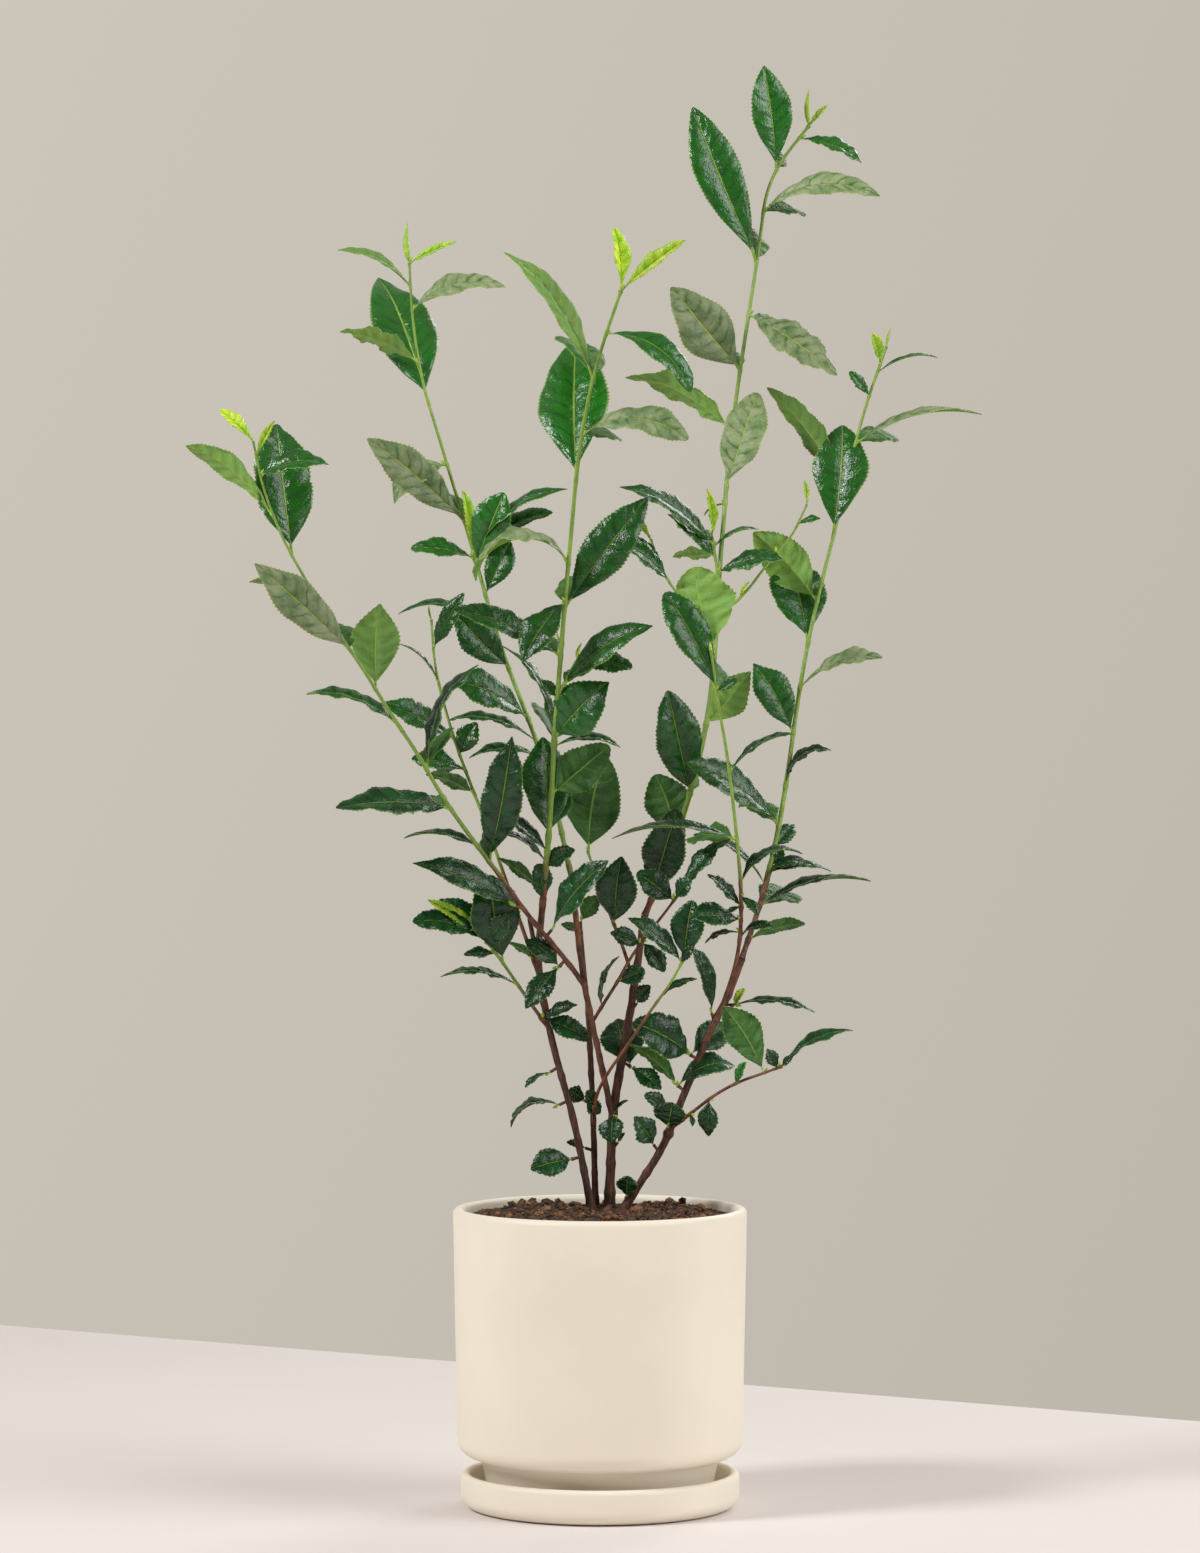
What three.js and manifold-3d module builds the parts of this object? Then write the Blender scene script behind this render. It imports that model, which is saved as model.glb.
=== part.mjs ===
// A tea bush in a round ceramic pot with a saucer.
// Millimetres, +Z up. The plant is seen from -Y in its main view, with +X to the right.
import * as THREE from 'three'
import { mergeVertices } from 'three/addons/utils/BufferGeometryUtils.js'
import Module from 'manifold-3d'

const wasm = await Module()
wasm.setup()

// ---------------------------------------------------------------- sizes

const CLEAR = 0.3 // gap that touching pieces keep
const WELD = 1e-3 // vertices nearer than this are one

const SAUCER = { radius: 90.5, height: 22.6, wall: 6.5, floor: 6, corner: 9, sides: 30 }

const POT = {
  top: 193, // height of the lip
  bellyFloor: 33, // where the wide body ends and the narrow foot begins
  radiusTop: 95,
  radiusBottom: 92.2,
  wall: 7.5,
  corner: 11,
  innerCorner: 8,
  seat: 0.05, // gap between the foot and the saucer's floor
  footTop: 77,
  footBottom: 71.5,
  floor: 9,
  sides: 32,
}

const SOIL = {
  top: 190.4, // level round the stems
  edge: 186.6, // level at the pot's wall
  plateau: 26, // radius of the level middle
  rings: [80, 62, 44, 28],
  mounds: [
    { x: -46, y: 34, radius: 26, height: 3.2 },
    { x: 47, y: 30, radius: 24, height: 4.6 },
  ],
}

const FLARE = { extra: 0.5, reach: 7 } // root flare: share of the radius added, and how far up
const ROOT = 6 // how far a cane starts below the soil before it is cut flat
const TUBE_STEP = 24 // spacing of a limb's rows
const TUBE_SIDES = { cane: 8, bough: 7, shoot: 5, twig: 4 }
const PATH_STEPS = 96 // steps that a limb's middle line is worked out in
const LOOK_AHEAD = 0.02 // share of a limb over which its direction is read
const LEAST_OVERLAP = 1e-3 // mm³ that two solids share before they count as touching

// ---------------------------------------------------------------- the plant
//
// A limb leans by the angles in `lean`, in degrees from upright, one for each equal stretch of it:
// positive leans to +X. `near` tips it towards -Y in the same way.
// `length` is how long it looks from -Y, and `radii` are its radii at the start and the end.

const CANES = {
  cane_1: {
    foot: [-5.5, 3],
    length: 201,
    radii: [2.3, 2.2],
    lean: [-10.5, -11.5, -16.5, -13.5, -9, 6],
    near: [-1],
  },
  cane_2: {
    foot: [-3, 17.5],
    length: 134,
    radii: [2.1, 1.7],
    lean: [-1, -1.5, -3, -3],
    near: [0, -2],
  },
  cane_3: {
    foot: [6, 12],
    length: 192,
    radii: [3.2, 2.3],
    lean: [2, 1.5, 9.5, 10.5, 8.5, 8.5],
    near: [0, -3],
  },
  cane_4: {
    foot: [14.5, 4],
    length: 181,
    radii: [2.4, 2.4],
    lean: [33, 33, 21, 23, 21, 28, 20],
    near: [2, 0],
  },
}

const BOUGHS = {
  left_bough: {
    from: 'cane_3',
    at: 0.33,
    length: 187,
    radii: [2.1, 1.7],
    lean: [-12, -12.5, -11, -7.5, -5.5, -12.5],
    near: [16, 14, 4, -12, -18, -18],
  },
  far_left_bough: {
    from: 'left_bough',
    at: 0.475,
    length: 88,
    radii: [1.7, 1.5],
    lean: [-36, -40, -39, -34],
    near: [18, 14, 8],
  },
}

// How a leaf is held, in degrees: `near` tips it towards -Y, `roll` turns it about its own length
// (0 shows its upper face to -Y, 90 its edge, 180 its underside), `arch` bends it down its length.
// `width` is its breadth as a share of its length.
const POSES = {
  broad: { near: 10, roll: 12, arch: 30, width: 0.4 },
  face: { near: 14, roll: 30, arch: 40, width: 0.36 },
  slant: { near: 12, roll: 55, arch: 38, width: 0.38 },
  edge: { near: 6, roll: 75, arch: 50, width: 0.36 },
  hook: { near: 4, roll: 76, arch: 95, width: 0.36 },
  curl: { near: 4, roll: 70, arch: 150, width: 0.4 },
  sweep: { near: 8, roll: 50, arch: 80, width: 0.36 },
  under: { near: -8, roll: 168, arch: 35, width: 0.42 },
  lift: { near: -6, roll: 122, arch: 35, width: 0.38 },
  back: { near: -26, roll: 14, arch: 25, width: 0.43 },
  young: { near: 6, roll: 40, arch: 15, width: 0.22 },
  bud: { near: 0, roll: 0, arch: 0, width: 0.16 },
  away: { near: -58, roll: 58, arch: 30, width: 0.4, swing: 5 },
}
const SWING = 14 // leaves also tip to and fro by their pose's swing or this, a golden angle apart
const GOLDEN_ANGLE = 2.399963

// A leaf at least `least` long that is tipped to -Y has another behind it, tipped 'away', whose
// reach is this share of its own.
const PARTNER = { least: 66, reach: 0.37 }

// A leaf is [place on its stem from 0 to 1, bearing of its tip in degrees from upright (positive to
// +X), reach from stem to tip, pose, width if not the pose's].
const SHOOTS = {
  tall_shoot: {
    from: 'cane_3',
    at: 1,
    length: 543,
    radii: [2, 1],
    lean: [23, 18, 13, 6, 3, 5, 5, 8, 9, 9, 7, 38],
    near: [-8, -14, -12],
    leaves: [
      [0.02, 16, 62, 'broad', 0.36],
      [0.1, -18, 43, 'under', 0.55],
      [0.155, -12, 69, 'broad', 0.38],
      [0.24, 39, 46, 'under', 0.5],
      [0.51, -119, 16, 'edge'],
      [0.53, 18, 68, 'back', 0.38],
      [0.6, -60, 80, 'lift'],
      [0.675, -40, 71, 'broad', 0.46],
      [0.745, 126, 71, 'face', 0.34],
      [0.81, -22, 113, 'broad', 0.3],
      [0.875, 84, 77, 'sweep', 0.26],
      [0.93, -7, 70, 'broad', 0.38],
      [0.98, 112, 45, 'slant'],
      [1, 0, 25, 'bud'],
      [1, 41, 19, 'young'],
    ],
    twigs: [
      {
        at: 0.41,
        length: 32,
        lean: [-6, -8],
        leaves: [
          [0.25, 78, 43, 'slant', 0.45],
          [0.55, -47, 43, 'slant', 0.42],
          [0.6, -90, 28, 'lift', 0.5],
          [0.8, -57, 73, 'slant', 0.3],
          [0.8, 67, 32, 'edge'],
          [1, -7, 32, 'young'],
        ],
      },
      {
        at: 0.35,
        length: 77,
        lean: [-45, -38, -19],
        leaves: [
          [0.6, -52, 46, 'slant', 0.4],
          [0.65, -40, 36, 'edge'],
          [1, -40, 27, 'young'],
        ],
      },
      {
        at: 0.37,
        length: 97,
        lean: [50, 36, 43, 25],
        leaves: [
          [0.2, 30, 13, 'young'],
          [0.6, -90, 15, 'slant'],
          [0.85, 75, 15, 'slant'],
          [1, -5, 16, 'young'],
        ],
      },
    ],
  },

  right_shoot: {
    from: 'cane_4',
    at: 1,
    length: 414,
    radii: [1.8, 0.9],
    lean: [19.5, 14, 10, 8, 10, 13, 15, 13, 15, 20],
    near: [-14, -12, -8],
    leaves: [
      [0.03, 72, 39, 'lift', 0.36],
      [0.085, 77, 75, 'edge', 0.25],
      [0.12, -53, 58, 'edge', 0.2],
      [0.13, 66, 27, 'hook'],
      [0.14, 88, 41, 'edge'],
      [0.15, 30, 16, 'back', 0.5],
      [0.18, 42, 21, 'back', 0.4],
      [0.215, -56, 75, 'slant', 0.36],
      [0.28, 51, 38, 'hook'],
      [0.362, -29, 53, 'broad', 0.42],
      [0.436, 68, 57, 'edge'],
      [0.508, -14, 60, 'back', 0.5],
      [0.575, -42, 62, 'under', 0.44],
      [0.685, 5, 75, 'back', 0.44],
      [0.757, -35, 86, 'lift', 0.34],
      [0.835, 77, 84, 'edge', 0.3],
      [0.915, -40, 21, 'face'],
      [0.955, 74, 42, 'edge', 0.2],
      [0.97, -16, 21, 'young', 0.4],
      [1, 15, 14, 'bud'],
    ],
  },

  fork_shoot: {
    from: 'cane_4',
    at: 0.68,
    length: 258,
    radii: [1.4, 0.9],
    lean: [23.5, 15.5, 2, -4.5, -6.5, -7.5, -10.5, -8],
    near: [28, 20, 14],
    leaves: [
      [0.28, 67, 22, 'hook'],
      [0.3, -107, 24, 'edge'],
      [0.33, -85, 31, 'slant', 0.6],
      [0.36, -43, 31, 'slant'],
      [0.365, -118, 12, 'slant'],
      [0.39, 137, 16, 'face'],
      [0.42, 63, 45, 'hook', 0.34],
      [0.53, -88, 80, 'edge', 0.3],
      [0.7, 58, 48, 'edge', 0.3],
      [0.9, -27, 71, 'face', 0.34],
      [0.9, 60, 15, 'face'],
      [1, -11, 54, 'under', 0.72],
    ],
  },

  centre_shoot: {
    from: 'cane_1',
    at: 1,
    length: 393,
    radii: [1.9, 1],
    lean: [5.5, 4, 3, 5, 4.5, 5.5, 5, 8, 14, 19.5],
    near: [24, 18, 12],
    leaves: [
      [0.01, -8, 24, 'face', 0.5],
      [0.023, -54, 37, 'lift', 0.32],
      [0.065, 57, 22, 'face', 0.5],
      [0.073, -59, 41, 'edge'],
      [0.09, -49, 38, 'slant', 0.34],
      [0.111, -3, 67, 'back', 0.42],
      [0.12, 15, 34, 'back', 0.45],
      [0.186, 50, 49, 'under', 0.5],
      [0.265, 89, 43, 'edge'],
      [0.27, -26, 72, 'edge', 0.25],
      [0.28, 44, 49, 'broad', 0.56],
      [0.344, -40, 15, 'face', 0.5],
      [0.41, -65, 74, 'slant', 0.3],
      [0.43, -20, 10, 'bud'],
      [0.488, 37, 88, 'broad', 0.34],
      [0.5, -146, 48, 'face', 0.42],
      [0.56, -100, 61, 'curl', 0.4],
      [0.692, 0, 96, 'back', 0.4],
      [0.765, 93, 67, 'sweep', 0.28],
      [0.855, -33, 98, 'slant', 0.3],
      [0.93, 125, 65, 'sweep', 0.3],
      [1, 53, 50, 'young'],
      [1, -5, 41, 'young', 0.3],
    ],
    twigs: [
      {
        at: 0.344,
        length: 26,
        lean: [25, 30],
        leaves: [
          [0.3, 54, 69, 'slant', 0.36],
          [1, 96, 36, 'face', 0.4],
          [1, 15, 12, 'young'],
        ],
      },
    ],
  },

  left_shoot: {
    from: 'left_bough',
    at: 1,
    length: 392,
    radii: [1.7, 0.8],
    lean: [-13, -20, -22, -17.5, -15.5, -17, -17, -17, -9, -3],
    near: [-16, -10, -4],
    leaves: [
      [0.13, -88, 48, 'edge'],
      [0.16, -75, 60, 'edge', 0.25],
      [0.2, -62, 54, 'slant', 0.5],
      [0.29, -44, 51, 'broad', 0.45],
      [0.365, -95, 41, 'edge'],
      [0.373, -83, 63, 'edge', 0.25],
      [0.42, 25, 39, 'broad', 0.46],
      [0.55, -49, 83, 'broad', 0.33],
      [0.65, -126, 44, 'sweep', 0.6],
      [0.76, -21, 100, 'back', 0.35],
      [0.83, -68, 56, 'lift', 0.42],
      [0.92, 77, 64, 'sweep', 0.32],
      [0.96, -63, 54, 'edge'],
      [1, 67, 34, 'young', 0.18],
      [1, -3, 28, 'bud'],
    ],
    twigs: [
      {
        at: 0.42,
        length: 27,
        lean: [-18, -18],
        leaves: [
          [0.8, 22, 50, 'broad', 0.48],
          [0.9, 57, 61, 'slant', 0.33],
          [0.95, -81, 42, 'slant', 0.45],
          [1, 53, 77, 'edge', 0.25],
          [1, -8, 44, 'young'],
        ],
      },
    ],
  },

  far_left_shoot: {
    from: 'far_left_bough',
    at: 1,
    length: 318,
    radii: [1.5, 0.7],
    lean: [-36.5, -34.5, -29, -33.5, -30.5, -34.5, -30.5, -29.5, -21, -11.5],
    near: [20, 16, 10],
    leaves: [
      [0.04, 10, 82, 'broad', 0.34],
      [0.08, -83, 48, 'edge'],
      [0.172, -89, 72, 'slant', 0.34],
      [0.265, 25, 75, 'edge'],
      [0.29, -30, 10, 'bud'],
      [0.36, -20, 8, 'bud'],
      [0.372, -71, 62, 'edge'],
      [0.455, 3, 54, 'under', 0.52],
      [0.543, -47, 81, 'broad', 0.33],
      [0.655, -71, 48, 'lift', 0.45],
      [0.765, -7, 85, 'back', 0.46],
      [0.845, -50, 73, 'lift', 0.28],
      [0.93, 80, 44, 'sweep', 0.42],
      [0.97, 29, 25, 'young'],
      [1, -46, 29, 'young', 0.3],
    ],
  },

  thin_left_shoot: {
    from: 'cane_1',
    at: 0.77,
    length: 245,
    radii: [1.4, 0.8],
    lean: [-19.5, -19.5, -19, -21, -21.5, -18, -14, -4],
    near: [-10, -10, -6],
    leaves: [
      [0.05, -52, 20, 'lift', 0.4],
      [0.43, 32, 31, 'face', 0.34],
      [0.52, -68, 34, 'lift', 0.5],
      [0.585, -77, 36, 'slant', 0.5],
      [0.63, 27, 24, 'broad', 0.58],
      [0.67, -63, 53, 'slant', 0.34],
      [0.8, 60, 10, 'face'],
      [0.83, -45, 37, 'edge', 0.2],
      [0.92, 29, 42, 'face', 0.3],
      [1, -10, 10, 'bud'],
    ],
  },

  low_left_shoot: {
    from: 'cane_1',
    at: 0.61,
    length: 71,
    radii: [1.3, 0.9],
    lean: [-35, -34, -33, -37],
    near: [24, 16, 12],
    leaves: [
      [0.12, 67, 25, 'slant', 0.45],
      [0.12, 113, 34, 'face', 0.4],
      [0.5, -83, 50, 'edge', 0.3],
      [0.75, -8, 58, 'broad', 0.5],
      [0.85, -90, 21, 'slant', 0.5],
      [0.97, 34, 23, 'broad', 0.5],
      [1, -47, 41, 'face', 0.4],
      [1, -54, 46, 'young', 0.18],
      [1, -73, 49, 'slant', 0.34],
    ],
  },

  low_right_shoot: {
    from: 'cane_4',
    at: 0.36,
    length: 84,
    radii: [1.2, 0.8],
    lean: [50, 48, 52, 61, 69, 68],
    near: [40, 30, 22],
    leaves: [
      [0.2, 170, 8, 'face'],
      [0.39, -178, 24, 'face', 0.55],
      [0.62, 24, 16, 'young', 0.4],
      [0.86, -32, 50, 'under', 0.42],
      [0.96, -27, 14, 'face', 0.6],
      [1, 45, 10, 'face'],
      [1, 63, 51, 'edge', 0.3],
    ],
  },

  high_cross_shoot: {
    from: 'cane_2',
    at: 0.88,
    length: 108,
    radii: [1.2, 0.8],
    lean: [30, 32, 27, 36, 38, 36],
    near: [30, 18, 14],
    leaves: [
      [0.15, 17, 36, 'edge'],
      [0.33, 65, 20, 'broad', 0.55],
      [0.6, -68, 21, 'face', 0.5],
      [0.62, 143, 24, 'face', 0.5],
      [0.93, -52, 30, 'face', 0.6],
      [0.95, 40, 16, 'face', 0.6],
      [1, 42, 49, 'slant', 0.34],
    ],
  },

  low_cross_shoot: {
    from: 'cane_2',
    at: 0.43,
    length: 127,
    radii: [1.2, 0.8],
    lean: [2, 25, 35, 33, 33, 36, 28],
    near: [36, 24, 14],
    leaves: [
      [0.1, -25, 12, 'face', 0.6],
      [0.74, 60, 30, 'edge', 0.3],
      [0.97, 34, 15, 'face'],
      [0.98, -50, 45, 'slant', 0.4],
      [1, 8, 38, 'broad', 0.5],
    ],
  },

  inner_shoot: {
    from: 'cane_3',
    at: 0.77,
    length: 91,
    radii: [1.3, 0.9],
    lean: [-16, -22, -21, -18.5],
    near: [-16, -12],
    leaves: [
      [0.45, 6, 45, 'broad', 0.5],
      [1, 10, 63, 'under', 0.5],
    ],
  },

  back_shoot: {
    from: 'cane_2',
    at: 1,
    length: 52,
    radii: [1.3, 0.8],
    lean: [-5, -5],
    near: [-14],
    leaves: [
      [0.85, -65, 15, 'lift', 0.6],
      [1, 35, 20, 'under', 0.5],
    ],
  },
}

// Short spurs that hold the leaves which grow straight from bare wood.
const SPURS = [
  { from: 'cane_1', at: 0.2, leaves: [[1, -102, 27, 'face', 0.6], [1, -76, 22, 'young']] },
  { from: 'cane_1', at: 0.38, leaves: [[1, -113, 35, 'hook', 0.4]] },
  { from: 'cane_1', at: 0.49, leaves: [[1, -121, 19, 'edge']] },
  { from: 'cane_2', at: 0.31, leaves: [[1, -70, 13, 'face']] },
  { from: 'cane_2', at: 0.52, leaves: [[1, -55, 13, 'face', 0.7], [1, 130, 13, 'face', 0.8]] },
  { from: 'cane_3', at: 0.22, leaves: [[1, 35, 8, 'young', 0.4]] },
  { from: 'cane_3', at: 0.38, leaves: [[1, -176, 18, 'face', 0.8], [1, 45, 13, 'edge']] },
  { from: 'cane_3', at: 0.52, leaves: [[1, 125, 24, 'face', 0.45], [1, -16, 31, 'back', 0.65]] },
  { from: 'cane_3', at: 0.68, leaves: [[1, 36, 15, 'face', 0.6]] },
  { from: 'far_left_bough', at: 0.24, leaves: [[1, -140, 34, 'face', 0.4], [1, -52, 28, 'face', 0.5]] },
  { from: 'far_left_bough', at: 0.46, leaves: [[1, 39, 58, 'slant', 0.38]] },
  { from: 'far_left_bough', at: 0.72, leaves: [[1, -66, 71, 'slant', 0.34]] },
  { from: 'cane_4', at: 0.05, leaves: [[1, 5, 14, 'broad', 0.8]] },
  { from: 'cane_4', at: 0.27, leaves: [[1, -34, 23, 'face', 0.6]] },
  { from: 'cane_4', at: 0.33, leaves: [[1, 8, 17, 'broad', 1.1]] },
  { from: 'cane_4', at: 0.42, leaves: [[1, -59, 18, 'face', 0.5]] },
  { from: 'cane_4', at: 0.5, leaves: [[1, -50, 44, 'lift', 0.42], [1, 70, 40, 'sweep', 0.46]] },
  { from: 'cane_4', at: 0.62, leaves: [[1, -59, 43, 'face', 0.55], [1, 55, 32, 'back', 0.45]] },
  { from: 'cane_4', at: 0.83, leaves: [[1, 94, 52, 'edge', 0.25], [1, 33, 13, 'young', 0.4]] },
  { from: 'cane_4', at: 0.76, leaves: [[1, -17, 47, 'slant', 0.36]] },
]
const SPUR = { length: 4, radius: 1, near: 25 } // length beyond the parent's bark
const TWIG_RADII = [1, 0.7]

// A leaf's rows: how far along it each is, and its half-breadth there as a share of the widest.
const LEAF_ROWS = [
  [0, 0.07],
  [0.1, 0.09],
  [0.38, 0.98],
  [0.72, 0.84],
  [1, 0],
]
const SMALL_LEAF_ROWS = [
  [0, 0.07],
  [0.1, 0.1],
  [0.5, 1],
  [1, 0],
]
const SMALL_LEAF = 43 // reach under which a leaf has the fewer rows
const LEAF_THICKNESS = 0.022 // of its length, at the midrib
const LEAF_FOLD = 0.22 // how far its edges rise, as a share of the half-breadth

const COLOURS = {
  pot: 0xf0e6d0,
  soil: 0x3b261d,
  bark: 0x4a2f28,
  leaf: 0x2a6d22,
}

// ---------------------------------------------------------------- small tools

const radians = THREE.MathUtils.degToRad

// The value of a short list at `place` from 0 to 1, blended between its entries.
function blend(list, place) {
  const spot = THREE.MathUtils.clamp(place * list.length - 0.5, 0, list.length - 1)
  const low = Math.floor(spot)
  const high = Math.min(low + 1, list.length - 1)
  return THREE.MathUtils.lerp(list[low], list[high], spot - low)
}

// The direction that leans `lean` degrees to +X and `near` degrees to -Y from upright.
function heading(lean, near) {
  const [a, b] = [radians(lean), radians(near)]
  return new THREE.Vector3(Math.sin(a) * Math.cos(b), -Math.sin(b), Math.cos(a) * Math.cos(b))
}

function arc(centreR, centreZ, radius, from, to, count) {
  const points = []
  for (let i = 0; i <= count; i += 1) {
    const angle = radians(THREE.MathUtils.lerp(from, to, i / count))
    points.push(new THREE.Vector2(centreR + radius * Math.cos(angle), centreZ + radius * Math.sin(angle)))
  }
  return points
}

function spot(r, z) {
  return new THREE.Vector2(r, z)
}

// A closed geometry as a manifold-3d solid, with its faces outward.
function toSolid(geometry) {
  const bare = geometry.clone()
  bare.deleteAttribute('normal')
  bare.deleteAttribute('uv')
  const merged = mergeVertices(bare, WELD)
  const corners = Array.from(merged.index.array)
  const kept = []
  for (let i = 0; i < corners.length; i += 3) {
    const [a, b, c] = corners.slice(i, i + 3)
    if (a !== b && b !== c && c !== a) kept.push(a, b, c)
  }
  const vertProperties = new Float32Array(merged.attributes.position.array)
  const build = (triVerts) =>
    new wasm.Manifold(new wasm.Mesh({ numProp: 3, vertProperties, triVerts: new Uint32Array(triVerts) }))
  const solid = build(kept)
  return solid.volume() > 0 ? solid : build(kept.reverse())
}

function toGeometry(solid) {
  const mesh = solid.getMesh()
  const geometry = new THREE.BufferGeometry()
  geometry.setAttribute('position', new THREE.BufferAttribute(mesh.vertProperties, 3))
  geometry.setIndex(new THREE.BufferAttribute(mesh.triVerts, 1))
  geometry.computeVertexNormals()
  return geometry
}

function touches(a, b) {
  return a.intersect(b).volume() > LEAST_OVERLAP
}

// A closed tube of rows of `sides` points. `place` puts each point: it gets the row's number and
// the point's direction in the section.
function loft(sides, rows, place) {
  const geometry = new THREE.CylinderGeometry(1, 1, 1, sides, rows - 1)
  const position = geometry.attributes.position
  for (let i = 0; i < position.count; i += 1) {
    const row = Math.round((position.getY(i) + 0.5) * (rows - 1))
    const point = place(row, position.getX(i), position.getZ(i))
    position.setXYZ(i, point.x, point.y, point.z)
  }
  return toSolid(geometry)
}

// ---------------------------------------------------------------- pot, saucer and soil

function turned(profile, sides) {
  const geometry = new THREE.LatheGeometry(profile, sides)
  geometry.rotateX(Math.PI / 2)
  return geometry
}

// The pot's inside, from the lip down to the axis, `gap` inside the wall.
function insideProfile(gap) {
  const floor = SAUCER.floor + POT.floor + gap
  const well = POT.footBottom - POT.wall - gap
  const low = POT.radiusBottom - POT.wall - gap
  const shoulder = POT.bellyFloor + POT.wall + gap
  return [
    spot(low, shoulder + POT.innerCorner),
    spot(low - POT.innerCorner, shoulder),
    spot(POT.footTop - POT.wall - gap, shoulder),
    spot(well, floor),
    spot(0, floor),
  ]
}

function makePot() {
  const bottom = SAUCER.floor + POT.seat
  const lip = POT.wall / 2
  const lipZ = POT.top - lip
  const profile = [
    spot(0, bottom),
    spot(POT.footBottom, bottom),
    spot(POT.footTop, POT.bellyFloor - 1),
    spot(POT.footTop + 1.5, POT.bellyFloor),
    ...arc(POT.radiusBottom - POT.corner, POT.bellyFloor + POT.corner, POT.corner, -90, 0, 4),
    ...arc(POT.radiusTop - lip, lipZ, lip, 0, 180, 5),
    ...insideProfile(0),
  ]
  return toSolid(turned(profile, POT.sides))
}

function makeSaucer() {
  const lip = SAUCER.wall / 2
  const inner = SAUCER.radius - SAUCER.wall
  const profile = [
    spot(0, 0),
    ...arc(SAUCER.radius - SAUCER.corner, SAUCER.corner, SAUCER.corner, -90, 0, 3),
    ...arc(SAUCER.radius - lip, SAUCER.height - lip, lip, 0, 180, 4),
    spot(inner, SAUCER.floor + 4),
    spot(inner - 4, SAUCER.floor),
    spot(0, SAUCER.floor),
  ]
  return toSolid(turned(profile, SAUCER.sides))
}

function soilHeight(x, y) {
  const rim = POT.radiusTop - POT.wall
  const out = THREE.MathUtils.smoothstep(Math.hypot(x, y), SOIL.plateau, rim)
  let height = THREE.MathUtils.lerp(SOIL.top, SOIL.edge, out)
  for (const mound of SOIL.mounds) {
    const near = Math.hypot(x - mound.x, y - mound.y) / mound.radius
    height += mound.height * Math.exp(-near * near * 2)
  }
  return height
}

// The soil fills the pot. `raise` lifts its top, to cut the canes off flat just above it.
function makeSoil(raise) {
  const wall = POT.radiusTop - POT.wall - CLEAR
  const top = SOIL.edge + raise
  const lid = [spot(wall, top), ...SOIL.rings.map((r) => spot(r, top)), spot(0, top)].reverse()
  const geometry = turned([...lid, ...insideProfile(CLEAR)], POT.sides)
  const position = geometry.attributes.position
  for (let i = 0; i < position.count; i += 1) {
    if (position.getZ(i) < top - 1) continue
    position.setZ(i, soilHeight(position.getX(i), position.getY(i)) + raise)
  }
  return toSolid(geometry)
}

// ---------------------------------------------------------------- limbs and leaves

// The middle line of a limb, as points at equal steps from `start`.
function growPath(start, limb) {
  const step = limb.length / PATH_STEPS
  const path = [start.clone()]
  for (let i = 0; i < PATH_STEPS; i += 1) {
    const place = (i + 0.5) / PATH_STEPS
    const near = blend(limb.near, place)
    const way = heading(blend(limb.lean, place), near)
    path.push(path[i].clone().addScaledVector(way, step / Math.cos(radians(near))))
  }
  return path
}

function pointOn(path, place) {
  const spot = THREE.MathUtils.clamp(place, 0, 1) * PATH_STEPS
  const low = Math.min(Math.floor(spot), PATH_STEPS - 1)
  return path[low].clone().lerp(path[low + 1], spot - low)
}

function wayOn(path, place) {
  const ahead = pointOn(path, Math.min(place + LOOK_AHEAD, 1))
  return ahead.sub(pointOn(path, Math.max(place - LOOK_AHEAD, 0))).normalize()
}

// A tapering limb along a path, `swell` fatter and longer all round than its radii say.
function limbSolid(path, limb, sides, swell = 0) {
  const rows = Math.max(3, Math.round(limb.length / TUBE_STEP) + 1)
  const ends = rows - 1
  return loft(sides, rows, (row, across, deep) => {
    const place = row / ends
    const way = wayOn(path, place)
    const side = new THREE.Vector3(0, 1, 0).cross(way).normalize()
    const front = new THREE.Vector3().crossVectors(way, side)
    const foot = (limb.flare ?? 0) * Math.exp((ROOT - place * limb.length) / FLARE.reach)
    const radius = THREE.MathUtils.lerp(limb.radii[0], limb.radii[1], place) * (1 + foot) + swell
    const point = pointOn(path, place)
    if (row === ends) point.addScaledVector(way, swell)
    if (row === 0) point.addScaledVector(way, -swell)
    return point.addScaledVector(side, across * radius).addScaledVector(front, deep * radius)
  })
}

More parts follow.
